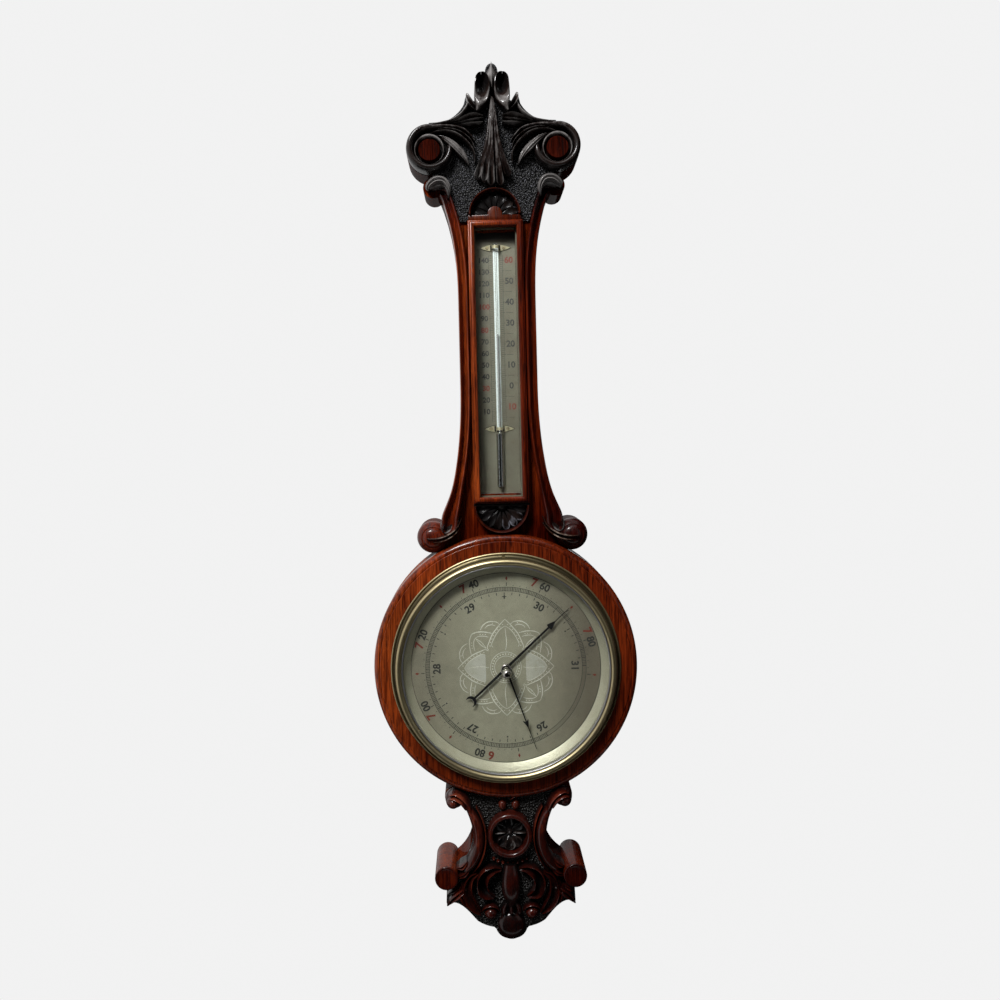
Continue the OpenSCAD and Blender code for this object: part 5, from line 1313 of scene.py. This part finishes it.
def rosette(bright, frosted):
    """Engraved rosette: a beaded ring, four pointed leaves with double edges and strapwork between them."""
    top = DIAL_FACE + 0.09
    for radius in (11.2, 15.2):
        turned(bright, [(radius - 0.25, INK_LOW), (radius + 0.25, INK_LOW), (radius + 0.15, top),
                        (radius - 0.15, top)], steps=96, closed=True)
    for k in range(30):
        spot(bright, clock(13.2, 12 * k), 0.8, 0.16)
    for k in range(4):
        turn = math.radians(90 * k)
        for side in (-1, 1):
            cut(bright, about_dial(LEAF_OUTER, turn, side), 0.5)
            cut(bright, about_dial(LEAF_INNER, turn, side), 0.36)
            between = about_dial(0.5 * (LEAF_OUTER[1:] + LEAF_INNER), turn, side)
            for point in even_line(between, np.linspace(0.05, 0.9, 8))[0]:
                spot(bright, point, 0.62, 0.14)
            for strap, half in STRAPWORK:
                cut(bright, about_dial(strap, turn, side), half)
            for point in about_dial(STRAP_DOTS, turn, side):
                spot(bright, point, 0.6, 0.14)
        cut(bright, about_dial(LEAF_RIB, turn), 0.32)
        # Every second leaf is frosted
        if k % 2:
            edge = np.concatenate([LEAF_INNER, LEAF_INNER[-2::-1] * [1, -1]])
            line, _ = even_line(np.concatenate([edge, edge[:1]]), np.linspace(0, 1, 56))
            plate(frosted, about_dial(line[:-1], turn).tolist(), INK_LOW, DIAL_FACE + 0.03, 0, 1.0)


class BAROMETER_OT_dial(bpy.types.Operator):
    """Engraves the silvered dial with its two scales and its rosette"""
    bl_idname = "barometer.dial"
    bl_label = "Dial"

    def execute(self, context):
        size = context.scene.barometer_dial.figure / MM
        finish_node("silver", "dial_plate")
        bm, red, band = blank(), blank(), blank()
        inner, outer, face = BAND_IN + 0.1, BAND_OUT - 0.1, DIAL_FACE + 0.02
        turned(band, [(inner, INK_LOW), (outer, INK_LOW), (outer, face), (inner, face)], steps=192,
               closed=True)
        piece("dial_chapter", band, "case", "chapter")
        for radius in (BAND_IN, BAND_OUT, EDGE_LINE_R):
            turned(bm, [(radius - FINE, INK_LOW), (radius + FINE, INK_LOW), (radius + FINE, INK_HIGH),
                        (radius - FINE, INK_HIGH)], steps=192, closed=True)
        inch_scale(bm, size)
        millimetre_scale(bm, red, size)
        star(bm)
        piece("dial_scale", bm, "case", "ink")
        piece("dial_red_marks", red, "case", "red")
        bright, frosted = blank(), blank()
        rosette(bright, frosted)
        piece("dial_rosette", bright, "case", "bright_cut_painted_glint")
        piece("dial_frosting", frosted, "case", "frosted")
        return {"FINISHED"}


class BAROMETER_OT_hands(bpy.types.Operator):
    """Finishes the two hands and turns the knob that sets one of them"""
    bl_idname = "barometer.hands"
    bl_label = "Hands and knob"

    def execute(self, context):
        finish_node("blacked", "indicating_hand", "set_hand")
        finish_node("steel", "hand_arbor")
        finish_node("brass", "set_washers")
        bm = blank()
        knob = room("set_knob")
        foot, top, seat = knob.back, knob.front, GLASS_FACE + 0.4
        stem = [(5.2, 0), (5.4, 0.3), (5.4, 1), (5.1, 1.3), (3.2, 1.5), (2.7, 2.2), (2.5, 3.6), (3.0, 4.2),
                (3.9, 4.5), (4.1, 5.1), (3.9, 5.7), (3.0, 6.0)]
        ball = arc((0, top - 4.4), 4.8, -58, 66, 13)
        turned(bm, [(0, foot), (3.5, foot), (3.6, foot + 0.5), (2.4, foot + 0.5), (2.4, seat),
                    *[(radius, seat + z) for radius, z in stem], *ball, (0, top)], steps=48)
        piece("knob", bm, "set_hand", "knob", ["set_knob"])
        return {"FINISHED"}


# Thermometer

# Ends of the marks, the right side's zero and degree, and the left side's reading there and its degree
MARKS_FOOT, MARKS_TOP = 243, 412
ZERO_Y, DEGREE = 279.5, 2.12
LEFT_AT_ZERO, LEFT_DEGREE = 32, DEGREE * 5 / 9
MARK_LOW, MARK_HIGH = SCALE.front - 0.03, SCALE.front + 0.05


def right_marks(bm, red):
    """Marks and figures at the right of the tube."""
    for degree in range(-17, 62):
        y = ZERO_Y + DEGREE * degree
        if not MARKS_FOOT < y < MARKS_TOP:
            continue
        bar(bm, (4, y), (8.4 if degree % 5 == 0 else 6.6, y), 0.2, MARK_LOW, MARK_HIGH)
        if degree % 10 == 5:
            bar(bm, (9.4, y), (16, y), 0.18, MARK_LOW, MARK_HIGH)
        if degree % 10 == 0:
            ink_work = red if degree in (-10, 60) else bm
            numeral(ink_work, str(abs(degree)), 8.6, Matrix.Translation((13.2, y, SCALE.front)))


def left_marks(bm, red):
    """Marks and figures at the left of the tube."""
    for degree in range(0, 146, 2):
        y = ZERO_Y + LEFT_DEGREE * (degree - LEFT_AT_ZERO)
        if not MARKS_FOOT < y < MARKS_TOP:
            continue
        bar(bm, (-4, y), (-8 if degree % 10 == 0 else -6, y), 0.18, MARK_LOW, MARK_HIGH)
        if degree % 10 == 0:
            ink_work = red if degree in (30, 80, 100) else bm
            numeral(ink_work, str(degree), 7.4, Matrix.Translation((-12.6, y, SCALE.front)))


def clip_edges(bm):
    """Dark edges round the clips, their bars beside the tube and their pins' eyes."""
    clips, face = room("tube_clips"), SCALE.front
    half_long, half_tall = 15.8, 4.1
    bend = np.linspace(-1, 1, 17)
    for y in (clips.top - 3.5, clips.foot + 3.5):
        edge = [(half_long * b, y + half_tall * (1 - b * b)) for b in bend]
        edge += [(half_long * b, y - half_tall * (1 - b * b)) for b in bend[-2:0:-1]]
        plate(bm, edge[::-1], face - 0.05, face + 0.2, 0)
        for side in (-1, 1):
            bar(bm, (4.3 * side, y - 2.9), (4.3 * side, y + 2.9), 0.9, face, face + 1)
            turned(bm, [(0, face + 0.2), (1.7, face + 0.2), (1.5, face + 1.2), (0, face + 1.5)],
                   (8.5 * side, y), 20)


class BAROMETER_OT_thermometer(bpy.types.Operator):
    """Marks the thermometer's scale and finishes its tube, clips and pane"""
    bl_idname = "barometer.thermometer"
    bl_label = "Thermometer"

    def execute(self, context):
        finish_node("scale", "scale_plate")
        finish_node("slip", "pane_slip")
        finish_node("glass", "thermometer_pane", "thermometer_tube")
        finish_node("mercury", "bulb_mercury")
        finish_node("thread", "mercury_thread")
        finish_node("clip", "tube_clips")
        finish_node("brass", "clip_pins")
        bm, red = blank(), blank()
        right_marks(bm, red)
        for x in (7, -7):
            bar(bm, (x, MARKS_FOOT), (x, MARKS_TOP), 0.16, MARK_LOW, MARK_HIGH)
        left_marks(bm, red)
        piece("thermometer_marks", bm, "case", "ink")
        piece("thermometer_red_marks", red, "case", "red")
        # Linings that close the trough above and below the scale; the blacked one at the head is painted
        # shade under the frame
        for name, low, finish in (("trough_head", SCALE.top - 0.1, "blacked"),
                                  ("trough_foot", SCALE.foot - 4, "lip")):
            bm = blank()
            high = low + 4.1
            plate(bm, [(SCALE.left, low), (SCALE.right, low), (SCALE.right, high), (SCALE.left, high)],
                  SCALE.back, SCALE.front + 0.4, 0)
            piece(name, bm, "case", finish)
        bm = blank()
        clip_edges(bm)
        piece("clip_edges", bm, "case", "blacked")
        bm = blank()
        axis, half = (TUBE.back + TUBE.front) / 2, 1.45
        low, high = 236, TUBE.top - 3.2
        plate(bm, [(-half, low), (half, low), (half, high), (-half, high)], axis - 1.9, axis - 1.0, 0.2)
        piece("tube_enamel", bm, "case", "enamel")
        return {"FINISHED"}


# Works behind the dial

class BAROMETER_OT_movement(bpy.types.Operator):
    """Finishes the aneroid movement, its drum and the hanging plate"""
    bl_idname = "barometer.movement"
    bl_label = "Movement and back"

    def execute(self, context):
        finish_node("brass", "hanging_plate", "movement_drum", "drum_screws", "base_plate",
                    "spring_bridge", "main_lever", "rock_bearings", "arbor_bridge", "bridge_pillars",
                    "hairspring_stud")
        finish_node("steel", "hanging_screws", "capsule_post", "knife_pin", "lever_link", "rock_shaft",
                    "chain", "adjusting_screw")
        finish_node("blacked", "main_spring", "hairspring")
        finish_node("nickel", "capsule")
        return {"FINISHED"}


# Stage

def lamp(name, power, size, place, aim):
    """A soft square lamp turned to face a point."""
    light = bpy.data.lights.new(name, "AREA")
    light.energy = power
    light.shape = "RECTANGLE"
    light.size, light.size_y = size
    obj = bpy.data.objects.new(name, light)
    bpy.context.collection.objects.link(obj)
    obj.location = place
    obj.rotation_euler = (Vector(aim) - Vector(place)).to_track_quat("-Z", "Y").to_euler()


def stage_sheet(name, size, place, turn, material, seen=True):
    """A flat sheet of the stage. One that isn't seen shows only in reflections and through glass."""
    bm = bmesh.new()
    bmesh.ops.create_grid(bm, x_segments=1, y_segments=1, size=1)
    turned_about = Matrix.Rotation(turn[0], 4, "X") @ Matrix.Rotation(turn[1], 4, "Y")
    bmesh.ops.transform(bm, verts=bm.verts[:], matrix=Matrix.Translation(place) @ turned_about
                        @ Matrix.Diagonal((size[0] / 2, size[1] / 2, 1, 1)))
    mesh = bpy.data.meshes.new(name)
    bm.to_mesh(mesh)
    bm.free()
    mesh.materials.append(material)
    obj = bpy.data.objects.new(name, mesh)
    bpy.context.collection.objects.link(obj)
    for ray in ("visible_camera", "visible_diffuse", "visible_shadow"):
        setattr(obj, ray, seen)


def set_camera(context, settings):
    """The camera, square to the object but for its roll."""
    data = bpy.data.cameras.new("camera")
    data.lens = settings.lens
    data.sensor_width = 36
    data.shift_x, data.shift_y = settings.shift
    data.clip_start = 0.01
    camera = bpy.data.objects.new("camera", data)
    context.collection.objects.link(camera)
    camera.matrix_world = (Matrix.Translation(settings.place) @ Matrix.Rotation(math.pi / 2, 4, "X")
                           @ Matrix.Rotation(settings.roll, 4, "Z"))
    context.scene.camera = camera
    context.scene.view_settings.view_transform = "Standard"


def set_backdrop(context, settings):
    """A pale world behind the object that gives little light of its own."""
    world = bpy.data.worlds.new("paper")
    context.scene.world = world
    world.use_nodes = True
    tree = world.node_tree
    tree.nodes.clear()
    path = add(tree, "ShaderNodeLightPath").outputs
    shown = calc(tree, "MAXIMUM", path["Is Glossy Ray"], path["Is Transmission Ray"])
    shown = calc(tree, "MAXIMUM", path["Is Camera Ray"], shown)
    paper = add(tree, "ShaderNodeBackground", {"Color": (*settings.paper, 1), "Strength": 1.0})
    dim = add(tree, "ShaderNodeBackground", {"Color": (*settings.paper, 1), "Strength": 0.06})
    mix = add(tree, "ShaderNodeMixShader", {0: shown, 1: dim.outputs[0], 2: paper.outputs[0]})
    out = tree.nodes.new("ShaderNodeOutputWorld")
    tree.links.new(mix.outputs[0], out.inputs["Surface"])


class BAROMETER_OT_stage(bpy.types.Operator):
    """Sets the camera, the lamps, the pale backdrop and the floor"""
    bl_idname = "barometer.stage"
    bl_label = "Stage"

    def execute(self, context):
        settings = context.scene.barometer_stage
        set_camera(context, settings)
        set_backdrop(context, settings)
        middle = (0, 0, DIAL_HEIGHT + 0.17)
        lamp("key_lamp", settings.key, (0.5, 0.5), (-0.65, -1.25, 1.0), middle)
        lamp("fill_lamp", settings.fill, (1.2, 1.2), (1.4, -1.2, -0.1), middle)
        lamp("top_lamp", settings.key * 0.12, (1.0, 0.4), (-0.3, -0.75, 1.15), middle)
        floor, tree, body = shader("pale_floor", {"Roughness": 0.7})
        where = add(tree, "ShaderNodeTexCoord").outputs["Object"]
        cloud = stretched_noise(tree, where, (1, 1, 1), 3, 2.0, 0.5)
        pale = blend_colour(tree, cloud, (0.8, 0.8, 0.8, 1), (0.84, 0.84, 0.84, 1))
        tree.links.new(pale, body.inputs["Base Color"])
        stage_sheet("floor", (1.2, 1.2), (0, 0, DIAL_HEIGHT - 0.95), (0, 0), floor)
        flag, _, _ = shader("dark_flag", {"Roughness": 0.9, "Base Color": (0.012, 0.011, 0.010, 1),
                                          "Specular IOR Level": 0.0})
        quarter = math.pi / 2
        stage_sheet("front_flag", (6, 6), (0.9, -2.1, -0.3), (quarter, 0), flag, False)
        stage_sheet("side_flag", (5, 5), (1.9, -0.7, -0.3), (0, quarter), flag, False)
        stage_sheet("low_flag", (3, 1.6), (0, 0.5, DIAL_HEIGHT - 0.7), (0, 0), flag, False)
        stage_sheet("back_flag", (1.7, 3.0), (1.05, 0.5, -0.3), (quarter, 0), flag, False)
        return {"FINISHED"}


class BAROMETER_PT_panel(bpy.types.Panel):
    """Lists the barometer's settings and pieces in the sidebar"""
    bl_idname = "BAROMETER_PT_panel"
    bl_label = "Banjo barometer"
    bl_space_type = "VIEW_3D"
    bl_region_type = "UI"
    bl_category = "Barometer"

    def draw(self, context):
        layout = self.layout
        for name in ("barometer_case", "barometer_dial", "barometer_stage"):
            settings = getattr(context.scene, name)
            box = layout.box()
            for prop in settings.bl_rna.properties:
                if not prop.is_readonly and prop.identifier != "name":
                    box.prop(settings, prop.identifier)
        for operator in OPERATORS:
            layout.operator(operator.bl_idname)


SETTINGS = (CaseSettings, DialSettings, StageSettings)
OPERATORS = (BAROMETER_OT_stage, BAROMETER_OT_board_and_rim, BAROMETER_OT_crest, BAROMETER_OT_rails,
             BAROMETER_OT_lunettes, BAROMETER_OT_thermometer_frame, BAROMETER_OT_pendant, BAROMETER_OT_bezel,
             BAROMETER_OT_dial, BAROMETER_OT_hands, BAROMETER_OT_thermometer, BAROMETER_OT_movement)


def register():
    """Adds the settings, the operators and the panel."""
    for cls in SETTINGS + OPERATORS + (BAROMETER_PT_panel,):
        bpy.utils.register_class(cls)
    bpy.types.Scene.barometer_case = PointerProperty(type=CaseSettings)
    bpy.types.Scene.barometer_dial = PointerProperty(type=DialSettings)
    bpy.types.Scene.barometer_stage = PointerProperty(type=StageSettings)


def unregister():
    """Takes them away again."""
    del bpy.types.Scene.barometer_case
    del bpy.types.Scene.barometer_dial
    del bpy.types.Scene.barometer_stage
    for cls in reversed(SETTINGS + OPERATORS + (BAROMETER_PT_panel,)):
        bpy.utils.unregister_class(cls)


def main():
    """Registers the add-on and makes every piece."""
    register()
    make_finishes(bpy.context.scene.barometer_case, bpy.context.scene.barometer_dial)
    bpy.ops.barometer.stage()
    bpy.ops.barometer.board_and_rim()
    bpy.ops.barometer.crest()
    bpy.ops.barometer.rails()
    bpy.ops.barometer.lunettes()
    bpy.ops.barometer.thermometer_frame()
    bpy.ops.barometer.pendant()
    bpy.ops.barometer.bezel()
    bpy.ops.barometer.dial()
    bpy.ops.barometer.hands()
    bpy.ops.barometer.thermometer()
    bpy.ops.barometer.movement()


if __name__ == "__main__":
    main()
